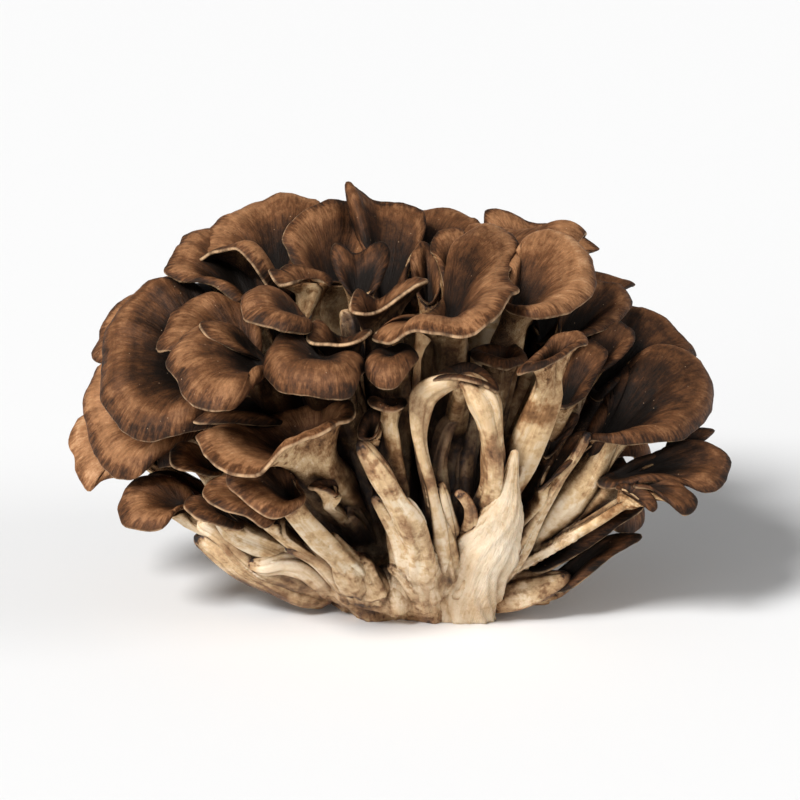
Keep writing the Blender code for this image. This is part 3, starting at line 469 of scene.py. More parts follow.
def cap_stem(neck, axis, stem_radius, tucked):
    """Path and radius of the part of a cap's stem that shows, the distance of each row along the stem, and
    where the fillet starts. The stem is a curve from a root near the foot's centre up to the neck, thinning
    quickly at first. Its lower part is kept for the trunk."""
    root = FOOT_CENTRE + (neck - FOOT_CENTRE) * [*ROOT_SPREAD, 0] * [1, TUCKED_SPREAD if tucked else 1, 1]
    root[2] = min(ROOT_HEIGHT, 0.5 * neck[2])
    across, up = STEM_BEND
    bend = root + across * (neck - root)
    if tucked:
        bend[1] = root[1] + TUCKED_BEND * (neck[1] - root[1])
    bend[2] = root[2] + up * (neck[2] - root[2])
    t = np.linspace(0, 1, 40)[:, None]
    path = (1 - t)**2 * root + 2 * t * (1 - t) * bend + t**2 * (neck - 0.8 * CORE_THICKNESS * axis)
    run = along(path)
    least, share, most = ROOT_RADIUS
    root_radius = min(most, least + share * stem_radius)
    stop = run[-1] - FILLET_LENGTH * stem_radius
    sunk = run < STEM_SUNK * stop
    girth = np.interp(run[sunk], [0, STEM_SUNK * stop], [root_radius, 0.5 * (root_radius + stem_radius)])
    stem_lines.append((path[sunk], 0.85 * girth))
    at = np.linspace(STEM_START * stop, stop, CAP_STEM_ROWS)
    path = np.stack([np.interp(at, run, path[:, k]) for k in range(3)], axis=1)
    radius = root_radius + (stem_radius - root_radius) * (at / stop)**ROOT_TAPER
    return path, radius * np.clip(0.1 + 1.3 * at / stop, 0, 1), at, stop


def cap(name, neck, stem_radius, lift, droop, rim_points, seed, tone, tucked=False,
        column_width=COLUMN_WIDTH):
    """One skin from the root of the stem to the neck: rings up the stem, a fillet onto the underside, out
    to the rounded rim, and back over the upper side to the neck. The rim carries random lobes, the sheet
    soft swells."""
    rng = np.random.default_rng(seed)
    neck = np.asarray(neck, float)
    rolled = ROLL_HEIGHT * min(1, max(0, droop) / ROLL_FULL_DROOP)**1.5
    lift, droop = math.radians(lift), math.radians(droop)
    girth = closed_spline(rim_points, 64)[1]
    columns = int(np.clip(girth / column_width, *CAP_COLUMNS))
    rim, girth = closed_spline(rim_points, columns)
    area = np.cross(rim - neck, np.roll(rim - neck, -1, axis=0)).sum(axis=0)
    if area[2] < 0:
        rim, area = rim[::-1], -area
    axis = unit(area)
    neck = hub_of(neck, rim, axis)
    spoke = rim - neck
    reach = np.linalg.norm(spoke, axis=1)
    level = unit(spoke - (spoke @ axis)[:, None] * axis)
    turn = np.linspace(0, 2 * math.pi, columns, endpoint=False)
    free = np.clip(reach / reach.max(), 0.25, 1) * np.clip(girth / 110, 0.5, 1)
    counts = [max(1, round(girth / lobe)) for lobe in RIM_LOBES]
    rim = rim + (waves(turn, rng, counts, LOBE_OUT) * free)[:, None] * level \
        + (waves(turn, rng, counts, LOBE_UP) * free)[:, None] * axis

    path, radius, at, stop = cap_stem(neck, axis, stem_radius, tucked)
    rise = unit(path[-1] - path[-2])

    def surface(s):
        """The sheet at shares s, with radial pleats and soft swells raised on it."""
        sheet = spokes(neck, lift, droop, rim, axis, s)
        edge = np.clip(1 - (1 - s) * reach / roll, 0, 1)
        grow = np.clip(s / 0.55, 0, 1)
        lifted = rolled * roll * (1 - edge**2) * grow**2 * (3 - 2 * grow)
        sheet = sheet + lifted[..., None] * unit(upward(sheet, s, axis) + UPRIGHT * axis)
        x, y, z = np.moveaxis(sheet, -1, 0)
        swell = WIDE_SWELL * np.sin(x / 4.1 + phase[0]) * np.sin(y / 3.7 + phase[1]) \
            + FINE_SWELL * np.sin(x / 2.1 + z / 2.7 + phase[2])
        pleat = pleats * s**2 * (1.15 - s)
        normal = upward(sheet, s, axis)
        return sheet + ((swell * s * (1 - s**6) + pleat) * free)[..., None] * normal, normal

    roll = np.minimum(ROLL_WIDTH[0] * reach, ROLL_WIDTH[1])
    phase = rng.uniform(0, 6, 3)
    pleats = waves(turn, rng, [max(3, round(girth / gap)) for gap in PLEATS[0]], PLEATS[1])
    s_top = 1 - (np.arange(TOP_ROWS) / TOP_ROWS)**1.2
    top, top_normal = surface(np.repeat(s_top[:, None], columns, axis=1))
    probe = np.linspace(0.05, 0.9, 30)[:, None] + 0 * reach
    clear = surface(probe)[0] - neck
    clear = np.linalg.norm(clear - (clear @ rise)[..., None] * rise, axis=-1) > 1.15 * stem_radius
    join = np.where(clear.any(axis=0), probe[clear.argmax(axis=0), 0], 0.85)
    join = sum(np.roll(join, k) for k in range(-4, 5)) / 9
    s_under = join + (1 - join) * (np.arange(UNDER_ROWS + 1) / UNDER_ROWS)[:, None]
    lower, under_normal = surface(s_under)
    thick = RIM_THICKNESS + (CORE_THICKNESS - RIM_THICKNESS) * (1 - s_under)**THINNING
    under = lower - thick[..., None] * unit(under_normal + UPRIGHT * axis) * (1 + 0.2 * UPRIGHT)

    out = unit(top[0] - top[1])
    rim_normal = top_normal[0]
    a = np.linspace(-90, 90, MARGIN_ROWS + 2)[1:-1, None, None] * math.pi / 180
    middle = top[0] - 0.5 * RIM_THICKNESS * rim_normal
    margin = middle + 0.5 * RIM_THICKNESS * (np.sin(a) * rim_normal + np.cos(a) * out)

    side, front = (way[-1] for way in frames(path))
    bearing = np.unwrap(np.arctan2(level @ front, level @ side))
    step = np.diff(np.r_[bearing, bearing[0] + 2 * math.pi * np.sign(bearing[-1] - bearing[0])])
    step = np.maximum(step * np.sign(step.sum()), 0.5 * 2 * math.pi / columns)
    turned = np.r_[0, np.cumsum(step)[:-1]] * 2 * math.pi / step.sum()
    bearing = bearing[0] + np.sign(np.median(np.diff(bearing))) * turned
    rib = waves(bearing + 0.4 * np.sin(at / 13)[:, None], rng, *CAP_STEM_RIBS) * radius[:, None]
    stem = tube(path, radius, bearing[None], rib)
    gap = np.linalg.norm(under[0] - stem[-1], axis=1, keepdims=True)
    inward = unit(under[0] - under[1])
    inward = inward - np.maximum(inward @ rise, -0.2)[:, None] * rise - 0.2 * rise
    f = (np.arange(1, FILLET_ROWS) / FILLET_ROWS)[:, None, None]
    fillet = (1 - f)**3 * stem[-1] + 3 * f * (1 - f)**2 * (stem[-1] + 0.5 * gap * rise) \
        + 3 * f**2 * (1 - f) * (under[0] + 0.4 * gap * inward) + f**3 * under[0]

    rings = np.concatenate([stem, fillet, under[:-1], margin, top])
    below = CAP_STEM_ROWS + FILLET_ROWS - 1
    share = np.concatenate([np.zeros((below, columns)), s_under[:-1], np.ones((MARGIN_ROWS, columns)),
                            np.repeat(s_top[:, None], columns, axis=1)])
    skin = np.r_[np.zeros(below + UNDER_ROWS), np.linspace(0, 1, MARGIN_ROWS + 2)[1:-1], np.ones(TOP_ROWS)]
    fillet_length, wide = FILLET_LENGTH * stem_radius, girth / (2 * math.pi)
    sheet_rows = UNDER_ROWS + MARGIN_ROWS + TOP_ROWS
    down = np.r_[stop - at + fillet_length, np.linspace(fillet_length, 0, FILLET_ROWS + 1)[1:-1],
                 np.zeros(sheet_rows)]
    across = np.r_[radius, np.linspace(stem_radius, wide, FILLET_ROWS + 1)[1:-1],
                   np.full(sheet_rows, wide)][:, None]
    grain = np.stack([across * np.cos(turn), across * np.sin(turn),
                      FIBRIL * share * reach - LENGTHWISE * down[:, None]], axis=-1) + rng.uniform(0, 90, 3)
    whole = np.ones_like(share)
    # heart darkens the colour towards the neck: partly the cap's own darker middle, partly painted shade in
    # the funnel round the neck.
    marks = {"grain": grain, "inset": (1 - share) * reach, "heart": (1 - share)**1.3,
             "skin": skin[:, None] * whole, "down": down[:, None] * whole,
             "tone": (tone + rng.uniform(-0.3, 0.3)) * whole,
             "stain": np.clip(0.4 - down[:, None] / 14, 0.14, 0.4) * whole}
    grown(name, rings, marks, CAP)


CAP_TONES = ((0.0, "120903"), (0.22, "361f0e"), (0.45, "643f24"), (0.70, "9c6e49"), (1.0, "d3a57b"))


def cap_material():
    """Maitake cap: a dry, felted brown skin of radial fibrils over cream flesh, which scatters light
    softly. A dark velvet line runs inside the thin pale edge, then comes a tan band with faint growth
    rings, and the middle is dark, partly its own colour and partly painted shade deepening towards the
    neck. Painted shade also darkens the caps in closed gaps. Below are fine cream pores."""
    made, tree, shader = new_material("maitake_cap")
    vector = add(tree, "Attribute", (), "Vector", attribute_name="grain")
    inset, heart, skin, tone, stain, down = (add(tree, "Attribute", (), "Fac", attribute_name=key)
                                             for key in ("inset", "heart", "skin", "tone", "stain", "down"))
    place = add(tree, "TexCoord", (), "Object")
    fibrils = add(tree, "TexNoise", {"Vector": vector, "Scale": 0.9, "Detail": 6, "Roughness": 0.66})
    streaks = add(tree, "TexNoise", {"Vector": vector, "Scale": 0.3, "Detail": 4, "Roughness": 0.6})
    mottle = add(tree, "TexNoise", {"Vector": place, "Scale": 120, "Detail": 6, "Roughness": 0.62,
                                    "Distortion": 0.3})
    felt = add(tree, "TexNoise", {"Vector": place, "Scale": 1500, "Detail": 3, "Roughness": 0.7})
    outwards = add(tree, "CombineXYZ", {"X": inset, "Y": tone})
    rings = add(tree, "TexNoise", {"Vector": outwards, "Scale": 0.22, "Detail": 3, "Roughness": 0.5})
    ragged = total(tree, inset, (fibrils, 5.0), (mottle, 5.0))
    band = add(tree, "MapRange", (ragged, 5.0, 8.0, 0.42, 0.70))
    fade = add(tree, "MapRange", (ragged, 12.0, 30.0, 0.0, -0.22))
    # Painted shade: the colour darkens where ambient occlusion within 20 mm is low, in the gaps between and
    # under the caps.
    open_air = add(tree, "AmbientOcclusion", {"Distance": 0.020}, "AO", samples=6)
    painted_shade = add(tree, "MapRange", (open_air, 0.10, 0.75, -0.45, 0.0))
    zones = add(tree, "Math", (band, fade), operation="ADD")
    # The heart term is partly the cap's own darker middle and partly painted shade towards the neck.
    light = total(tree, add(tree, "Math", (zones, painted_shade), operation="ADD"),
                  (fibrils, 0.55), (streaks, 0.38), (mottle, 0.62), (rings, 0.40), (felt, 0.20),
                  (tone, 0.20), (heart, -0.42))
    light = add(tree, "Math", (light, -1.22), operation="ADD")
    brown = add(tree, "ValToRGB", {"Fac": light}, stops=CAP_TONES)
    dust = add(tree, "TexVoronoi", {"Vector": place, "Scale": 330}, "Distance")
    speck = add(tree, "MapRange", (dust, 0.03, 0.06, 0.8, 0.0))
    dusted = add(tree, "MixRGB", (speck, brown, linear("b9997a")))
    worn = add(tree, "MapRange", (streaks, 0.38, 0.60, 0.15, 1.0))
    edge = add(tree, "MapRange", (skin, 0.60, 0.98, worn, 0.0))
    edged = add(tree, "MixRGB", (edge, dusted, linear("caa67f")))

    pale, fibre_height = flesh(tree, stain, 0.68, FLESH_TONES)
    pores = add(tree, "TexVoronoi", {"Vector": place, "Scale": 1600}, "Distance")
    pored = add(tree, "ValToRGB", {"Fac": pores}, stops=((0.0, "a98a62"), (0.35, "ffffff")))
    pore_mix = add(tree, "MapRange", (down, 0.0, 9.0, 0.6, 0.0))
    under = add(tree, "MixRGB", (pore_mix, pale, pored), blend_type="MULTIPLY")
    cover = add(tree, "MapRange", (skin, 0.2, 0.4))
    colour = add(tree, "MixRGB", (cover, under, edged))
    height = total(tree, fibre_height, (fibrils, cover), (felt, 0.4))
    bump = add(tree, "Bump", {"Height": height, "Strength": 0.6, "Distance": 0.0004})
    tree.links.new(colour, shader.inputs["Base Color"])
    tree.links.new(bump, shader.inputs["Normal"])
    shader.inputs["Roughness"].default_value = 0.62
    shader.inputs["Subsurface Weight"].default_value = 0.03
    shader.inputs["Subsurface Scale"].default_value = 0.0015
    shader.inputs["Specular IOR Level"].default_value = 0.2
    return made


CAP = cap_material()

# caps whose stems bend back at once, and leave a hollow in front
TUCKED = ("front_left_wing", "coin_cap", "left_ledge", "front_shelf", "front_shelf_small", "thorn_cap",
          "saucer_trumpet", "ribbon_trumpet", "oval_cap", "front_left_disc", "disc_fold", "shy_cap",
          "arch_cap", "left_inner", "great_trumpet")

# caps lighter or darker than their neighbours
OWN_TONE = {"heart_cap": -0.9, "front_left_wing": 1.0, "left_far_low": 1.5, "left_outer": 0.8,
            "left_far_high": 0.4, "right_fan": 0.9, "great_trumpet": 0.7, "left_shield": -0.6,
            "crown_peak": -0.7, "right_roof": -0.5, "low_left_fan": 0.6, "left_paddle": 0.8,
            "low_right_dark": -0.5, "low_right_finger": -0.5}


def cap_group(caps, seed, tone):
    """Every cap of a table, each with its own random seed, and lighter or darker by the tone."""
    for number, (name, (neck, radius, lift, droop, rim)) in enumerate(caps.items()):
        own = tone + OWN_TONE.get(name, 0)
        cap(name, neck, radius, lift, droop, rim, seed + number, own, name in TUCKED)


cap_group(CROWN, 100, 0)


# ----------------------------------------------------------------------
# The right side: shelves stepped down from the crown, a broad roof of a cap, and below it a lobed cap like
# a hand. They are the same flesh as the crown, and lean out over their long pale stems.

RIGHT = {
    "right_sliver": ((48, 8, 81), 3, 0, 20, [
        (54, 20, 95), (59, 28, 96), (70, 32, 92), (71, 28, 91), (63, 18, 91), (58, 12, 90), (53, 12, 90)]),
    "right_tier_upper": ((46, -12, 81), 4, 0, 25, [
        (57, 8, 98), (64, 14, 95), (67, 14, 94), (70, 10, 91), (67, -1, 89), (62, -10, 88), (55, -17, 87),
        (48, -16, 85), (47, -6, 91), (52, 4, 95)]),
    "right_tier_lower": ((51, -18, 69), 4, 0, 25, [
        (62, -5, 89), (69, -3, 86), (70, -5, 84), (69, -9, 82), (63, -17, 78), (55, -22, 75),
        (49, -22, 74), (50, -15, 80), (56, -8, 86)]),
    "right_roof": ((57, -8, 63), 5, 8, 35, [
        (62, 18, 84), (70, 24, 85), (80, 24, 81), (84, 22, 78), (90, 16, 73), (87, 8, 74), (81, 2, 77),
        (73, -6, 74), (63, -16, 70), (58, -16, 67), (55, -8, 71), (57, 5, 79)]),
    "big_right": ((55.5, -32, 54), 7, 5, 40, [
        (72, 2, 71), (77, 6, 73), (82, 8, 74), (90, 8, 71), (94, 0, 66), (93, -9, 63), (89, -19, 60),
        (83, -29, 59), (74, -37, 60), (65, -42, 61), (56, -38, 61), (54, -28, 59), (59, -18, 63),
        (66, -6, 67)]),
    "dark_blade_upper": ((47, -34, 69), 2.5, 0, 20, [
        (55, -18, 86), (60, -19, 84), (61, -21, 82), (58, -27, 78), (54, -34, 73), (48, -38, 71),
        (45, -36, 72), (46, -30, 76), (49, -22, 81)]),
    "dark_blade_mid": ((43, -36, 55), 2, 0, 15, [
        (48, -26, 66), (52, -27, 66), (52, -29, 64), (48, -35, 60), (45, -37, 57), (42, -37, 56),
        (44, -31, 62)]),
    "dark_blade_lower": ((40, -40, 45), 2, 0, 15, [
        (51, -30, 61), (56, -31, 61), (57, -33, 59), (51, -39, 56), (48, -41, 53), (43, -42, 49),
        (40, -42, 47), (42, -38, 52), (46, -33, 57)]),
    "right_hand_palm": ((60, -33, 48), 3, -5, 25, [
        (64, -30, 50), (70, -26, 52), (77, -22, 52), (83, -18, 53), (92, -15, 53), (98, -16, 49),
        (98, -19, 46), (94, -27, 43), (89, -31, 43), (83, -33, 46), (73, -37, 48), (61, -39, 47),
        (58, -36, 48)]),
    "right_hand_thumb": ((65, -37, 48), 1.6, -5, 25, [
        (73, -34, 49), (78, -33, 48), (83, -33, 46), (86, -34, 43), (87, -36, 42), (86, -39, 40),
        (82, -43, 40), (77, -42, 44), (73, -41, 47), (68, -40, 48)]),
    "right_hand_finger": ((66, -41, 44), 1.4, 10, 30, [
        (64, -38.5, 48), (69, -38.5, 47.5), (73, -40, 45.5), (75, -42, 42), (73.5, -44, 41),
        (70.5, -44, 43), (66.5, -42.5, 46), (63, -41, 47)]),
    "right_spur": ((82, -18, 52), 2, 0, 20, [
        (80, -18, 55.5), (85, -14, 57), (90, -11, 57.5), (94, -9, 56), (92, -12, 54.5), (88, -17, 53.5),
        (83, -21, 53), (79, -22, 53.5)]),
    "low_right_finger": ((47, -20, 10), 3, 5, 20, [
        (45, -18, 13), (53, -17, 19.5), (62.5, -15, 25), (71.5, -16, 26), (71, -18.5, 24),
        (64, -22, 21.5), (56.5, -25, 16), (49.5, -25.5, 11.5), (44, -22, 10)]),
    "low_right_dark": ((42, -16, 17), 3.5, 5, 20, [
        (38, -14, 19.5), (47.5, -11, 25), (59, -9, 32), (71, -9, 36.5), (73, -14, 35), (66.5, -20, 30.5),
        (56, -22, 23.5), (44, -23, 17), (38, -20, 16)]),
}
cap_group(RIGHT, 200, -0.45)


# ----------------------------------------------------------------------
# The middle of the front: small funnels and shelves in front of the crown, and the dark tips of the long
# stems that stand bare below them.

CENTRE = {
    "ribbon_trumpet": ((-6, -40, 88), 4, 60, -15, [
        (-14, -44, 103), (-13, -48, 102), (-9, -50, 102), (-5, -48, 103), (1, -44, 107), (7, -36, 108),
        (4, -26, 107), (-1, -22, 103), (-6, -24, 100), (-9, -28, 102), (-12, -34, 105)]),
    "saucer_trumpet": ((-16, -46, 84), 4, 50, -10, [
        (-26, -50, 95), (-23, -54, 94), (-16, -57, 95), (-12, -56, 96), (-9, -52, 97), (-9, -46, 96),
        (-12, -40, 94), (-16, -38, 92), (-19, -38, 93), (-22, -40, 96), (-24, -42, 98)]),
    "oval_cap": ((-29, -43, 99), 4, 0, 35, [
        (-46, -42, 103), (-45, -46, 101), (-43, -50, 100), (-36, -55, 99), (-32, -56, 98), (-26, -52, 97),
        (-25, -46, 97), (-28, -38, 98), (-34, -31, 100), (-41, -32, 104), (-45, -36, 104)]),
    "curled_nub": ((-26, -12, 92), 4.5, 60, 10, [
        (-38, -12, 106), (-36, -16, 103), (-34, -18, 103), (-28, -16, 104), (-24, -12, 103),
        (-21, -9, 100), (-20, -5, 101), (-23, -2, 103), (-32, -2, 105), (-36, -8, 105)]),
    "front_shelf": ((-22, -56, 90), 6, 0, 50, [
        (-39, -60, 87), (-37, -66, 86), (-34, -70, 85), (-28, -74, 84), (-22, -76, 84), (-14, -74, 84),
        (-11, -66, 87), (-10, -58, 89), (-19, -52, 87), (-27, -50, 88), (-35, -44, 91), (-38, -50, 90)]),
    "front_shelf_small": ((-2, -55, 91), 4, 0, 50, [
        (-10, -64, 88), (-8, -68, 86), (-5, -70, 85), (-1, -70, 86), (3, -64, 89), (5, -58, 90),
        (5, -52, 90), (2, -48, 91), (-4, -47, 88), (-9, -52, 89)]),
    "arch_cap": ((18, -52, 82), 2.5, 10, 25, [
        (9.2, -57, 84.3), (15.7, -58, 85), (23, -58, 83.6), (28.2, -55, 80.6), (26.5, -50, 83),
        (20.2, -47, 86.4), (13, -49, 85.6)]),
    "shy_cap": ((29, -32, 78), 3.5, 12, 35, [
        (20, -30, 85), (24, -26, 86), (32, -23, 86), (35, -26, 85), (37, -32, 84), (34, -40, 84),
        (30, -44, 84), (22, -40, 86)]),
    "mast_cap": ((43, -52, 84), 4, 10, 30, [
        (33, -60, 87), (37, -56, 90), (41, -50, 92), (45, -45, 94), (52, -42, 94), (54, -44, 92),
        (51, -50, 92), (43, -60, 90), (35, -64, 88)]),
    "fork_cap": ((-3, -54, 73), 3, 10, 30, [
        (-9, -56, 78), (-6, -52, 77), (0, -48, 76), (2, -52, 76), (0, -58, 76), (-3, -60, 76),
        (-7, -60, 77)]),
    "coin_cap": ((-8, -54, 65), 2, 0, 20, [
        (-12, -57, 69), (-10, -53, 73), (-7, -51, 74), (-5, -53, 72), (-6, -56, 69), (-8, -58, 67),
        (-11, -59, 67)]),
    "thorn_cap": ((-19, -50, 47), 2.5, 5, 20, [
        (-26, -55, 52), (-24, -53, 53), (-20, -51, 53), (-18, -51, 51), (-18, -54, 49), (-21, -57, 51),
        (-24, -57, 52)]),
}
cap_group(CENTRE, 300, 0)


# ----------------------------------------------------------------------
# The left side: the largest shield-like caps, overlapping like shingles, with thin wings and paddles below
# them whose stems sweep down to the foot.

LEFT = {
    "left_far_high": ((-65, 22, 69), 4, 0, 35, [
        (-71, 42, 90), (-76, 42, 89), (-85, 38, 85), (-91, 30, 79), (-92, 27, 76), (-94, 21, 72),
        (-91, 16, 70), (-83, 12, 70), (-73, 12, 68), (-64, 20, 68), (-62, 32, 76), (-64, 40, 86)]),
    "left_shield": ((-52, -14, 73), 6, 0, 40, [
        (-68, 12, 96), (-77, 8, 95), (-86, -1, 88), (-88, -12, 81), (-88, -24, 73), (-86, -31, 69),
        (-80, -41, 64), (-72, -48, 64), (-62, -49, 66), (-52, -40, 67), (-49, -28, 70), (-49, -14, 75),
        (-54, 2, 86), (-61, 10, 93)]),
    "left_inner": ((-44, -22, 78), 4.5, 5, 35, [
        (-70, -32, 87), (-70, -26, 89), (-66, -13, 94), (-59, -5, 96), (-50, -4, 94), (-46, -6, 91),
        (-42, -12, 87), (-41, -18, 81), (-44, -26, 78), (-51, -33, 81), (-60, -36, 85), (-66, -35, 87)]),
    "front_left_disc": ((-39, -46, 84), 5, 3, 35, [
        (-38, -56, 85), (-41, -64, 84), (-47, -74, 80), (-52, -76, 80), (-60, -69, 82), (-66, -55, 88),
        (-65, -48, 91), (-61, -37, 93), (-54, -33, 90), (-45, -34, 86), (-37, -42, 84)]),
    "disc_fold": ((-39, -42, 85), 3, 0, 20, [
        (-57, -44, 97), (-56, -40, 97), (-51, -36, 96), (-45, -34, 90), (-38, -39, 85), (-45, -47, 89),
        (-53, -49, 94), (-56, -47, 96)]),
    "left_outer": ((-61, 2, 55), 5, 0, 35, [
        (-91, 15, 70), (-93, 13, 67), (-96, 8, 58), (-94, 2, 52), (-91, -6, 47), (-87, -14, 44),
        (-83, -18, 44), (-77, -20, 45), (-71, -18, 50), (-63, -6, 52), (-60, 4, 54), (-62, 14, 61),
        (-73, 18, 67), (-84, 18, 70)]),
    "left_far_low": ((-75, 18, 41), 4, 0, 35, [
        (-96, 22, 52), (-99, 20, 50), (-101, 14, 46), (-99, 9, 43), (-98, 5, 40), (-94, -2, 35),
        (-89, 0, 38), (-78, 8, 38), (-75, 18, 40), (-81, 24, 47), (-90, 25, 50)]),
    "left_pocket": ((-55, -26, 48), 3.5, -5, 20, [
        (-67, -30, 54), (-67, -26, 55), (-65, -22, 56), (-60, -20, 54), (-52, -22, 49), (-54, -30, 48),
        (-61, -35, 51), (-66, -34, 52)]),
    "left_ledge": ((-28, -40, 66), 3.5, 0, 25, [
        (-61, -42, 70), (-60, -36, 71), (-54, -30, 71), (-38, -26, 68), (-32, -30, 67), (-33, -42, 67),
        (-43, -50, 69), (-58, -50, 70)]),
    "front_left_wing": ((-24.5, -51, 59), 6.5, 10, 12, [
        (-57, -57, 68), (-52, -44, 68), (-45, -40, 68), (-32, -38, 70), (-21, -42, 74), (-14.5, -51, 76),
        (-13.5, -60, 74.5), (-19.5, -70, 74), (-28, -77, 72), (-33, -80, 70), (-39, -80, 64.5),
        (-45, -78, 62), (-52, -73, 64), (-57, -64, 67)]),
    "left_paddle": ((-30, -52, 47), 3.5, -3, 25, [
        (-49, -60, 58), (-49, -63, 55), (-46, -66, 53), (-38, -71, 48), (-32, -70, 48), (-27, -60, 49),
        (-29, -54, 52), (-32, -50, 55), (-42, -50, 58), (-46, -54, 59)]),
    "left_apron": ((-35, -38, 37), 3.5, 0, 25, [
        (-57, -40, 47), (-55, -37, 49), (-51, -36, 50), (-45, -36, 49), (-39, -36, 45), (-35, -38, 41),
        (-38, -50, 38), (-44, -54, 43), (-53, -52, 45), (-56, -46, 46)]),
    "left_crest": ((-50, -30, 34), 3.5, 5, 25, [
        (-63, -34, 41), (-61, -31, 42), (-54, -29, 40), (-46, -32, 34), (-48, -38, 34), (-57, -42, 38),
        (-62, -38, 40)]),
    "low_left_fan": ((-61, -18, 35), 4, -3, 30, [
        (-76, -8, 41), (-80, -10, 40), (-84, -17, 36), (-83, -22, 33), (-80, -27, 31), (-70, -30, 32),
        (-66, -24, 35), (-61, -16, 36), (-63, -8, 37), (-71, -5, 40)]),
    "low_left_back": ((-52, -6, 31), 3.5, -3, 20, [
        (-76, 5, 38), (-72, 8, 38), (-67, 6, 38), (-60, 2, 37), (-52, -4, 33), (-58, -8, 34), (-71, 2, 37)]),
}
cap_group(LEFT, 400, -0.1)


# ----------------------------------------------------------------------
# The back: caps like those of the front, spread from low to high by the golden ratio, each a fan that
# points outwards. The low ones lie level, the middle ones droop and the high ones rise.

BACK_COUNT = 28
BACK_COLUMN_WIDTH = 1.9
BACK_NECK_RADIUS, BACK_LIFT, BACK_DROOP = 4.5, 25, 50
BACK_BEARINGS = (4, 176)  # degrees from +X round by +Y
BACK_TUCK = 38  # degrees by which the highest ones keep clear of the sides
BACK_HEIGHTS = (32, 92)  # necks
BACK_GIRTH = (58, 46)  # distance of the necks across and away, at the widest
BACK_REACH = 37
BACK_HALF_WIDTH = 20
GOLDEN = 0.6180339887


def back_rim(number):
    """Neck and rim of one back cap: an oval fan in the direction of its bearing, domed along and rippled
    round."""
    share = (number + 0.5) / BACK_COUNT
    wander = math.sin(2.3 * number)
    first, last = BACK_BEARINGS
    tuck = BACK_TUCK * share**2
    bearing = math.radians(first + tuck + (last - first - 2 * tuck) * ((number * GOLDEN) % 1))
    out = np.array([math.cos(bearing), math.sin(bearing), 0])
    side = np.array([-out[1], out[0], 0])
    girth = 0.45 + 0.55 * math.sin(math.pi * (0.12 + 0.80 * share))
    low, high = BACK_HEIGHTS
    wide, deep = BACK_GIRTH
    neck = np.array([wide * girth * out[0], deep * girth * out[1], low + (high - low) * share])
    reach = BACK_REACH * (0.92 + 0.14 * wander - 0.2 * share**2)
    t = np.radians(np.arange(0, 360, 30))
    outwards = reach * (0.47 + 0.50 * np.cos(t) + 0.05 * np.cos(3 * t + number))
    aside = BACK_HALF_WIDTH * np.sin(t) * (1.05 + 0.30 * np.cos(t)) + 2 * np.sin(2 * t + number)
    far = outwards / reach
    tip = -6 + 24 * share**3
    up = tip * far + 22 * far * (1 - far) + 3 * np.sin(2 * t + 2.1 * number) + 4 * np.sin(t + 1.3 * number)
    return neck, neck + outwards[:, None] * out + aside[:, None] * side + up[:, None] * [0, 0, 1]


for number in range(BACK_COUNT):
    neck, rim = back_rim(number)
    cap(f"back_{number}", neck, BACK_NECK_RADIUS, BACK_LIFT, BACK_DROOP, rim, 500 + number, -0.1,
        column_width=BACK_COLUMN_WIDTH)


# ----------------------------------------------------------------------
# The trunk: the dense flesh where all the stems have grown together, down to the foot, which a knife cut
# off level. It is one skin shrunk round every stem's lower part, tough, folded lengthwise, and soiled near
# the cut.

FOOT = [  # height, half width across, half depth
    (-2, 22, 18), (0, 23, 18.5), (4, 27, 21), (8, 32, 23), (14, 32, 23), (19, 27, 20), (24, 17, 13),
    (27, 5, 5)]
FOOT_FOLDS = ((5, 9, 17, 31), (1.6, 1.2, 0.8, 0.4))  # how many round the foot, how deep
FOOT_SIDES = 160
TRUNK_MESH = 0.88  # mm between the trunk's points
TRUNK_TUBE_SIDES = 20
WEBBING_STEPS = 8  # rounds of smoothing, which web the forks


def foot_rings():
    """Ellipses of the profile's width and depth at each height, pushed out and in by waves round the
    foot."""
    rng = np.random.default_rng(3)
    profile = open_spline(FOOT, 30)
    angle = np.linspace(0, 2 * math.pi, FOOT_SIDES, endpoint=False)
    height = profile[:, :1]
    fold = waves(angle + 0.25 * np.sin(height / 9), rng, *FOOT_FOLDS)
    return np.stack([np.cos(angle) * (profile[:, 1:2] + fold), np.sin(angle) * (profile[:, 2:3] + fold),
                     np.repeat(height, FOOT_SIDES, axis=1)], axis=-1) + FOOT_CENTRE


def closed_grid(rings, start):
    """Points and faces of a closed skin of rings, its faces counted from the start point."""
    rows, columns = rings.shape[:2]
    k = np.arange(columns) + start
    faces = (ring_quads(rows, columns) + start).tolist()
    return rings.reshape(-1, 3), faces + [k[::-1].tolist(), (k + (rows - 1) * columns).tolist()]


def vectors_of(mesh, key):
    """The positions or the normals of a mesh's points."""
    values = np.empty(3 * len(mesh.vertices))
    mesh.vertices.foreach_get(key, values)
    return values.reshape(-1, 3)


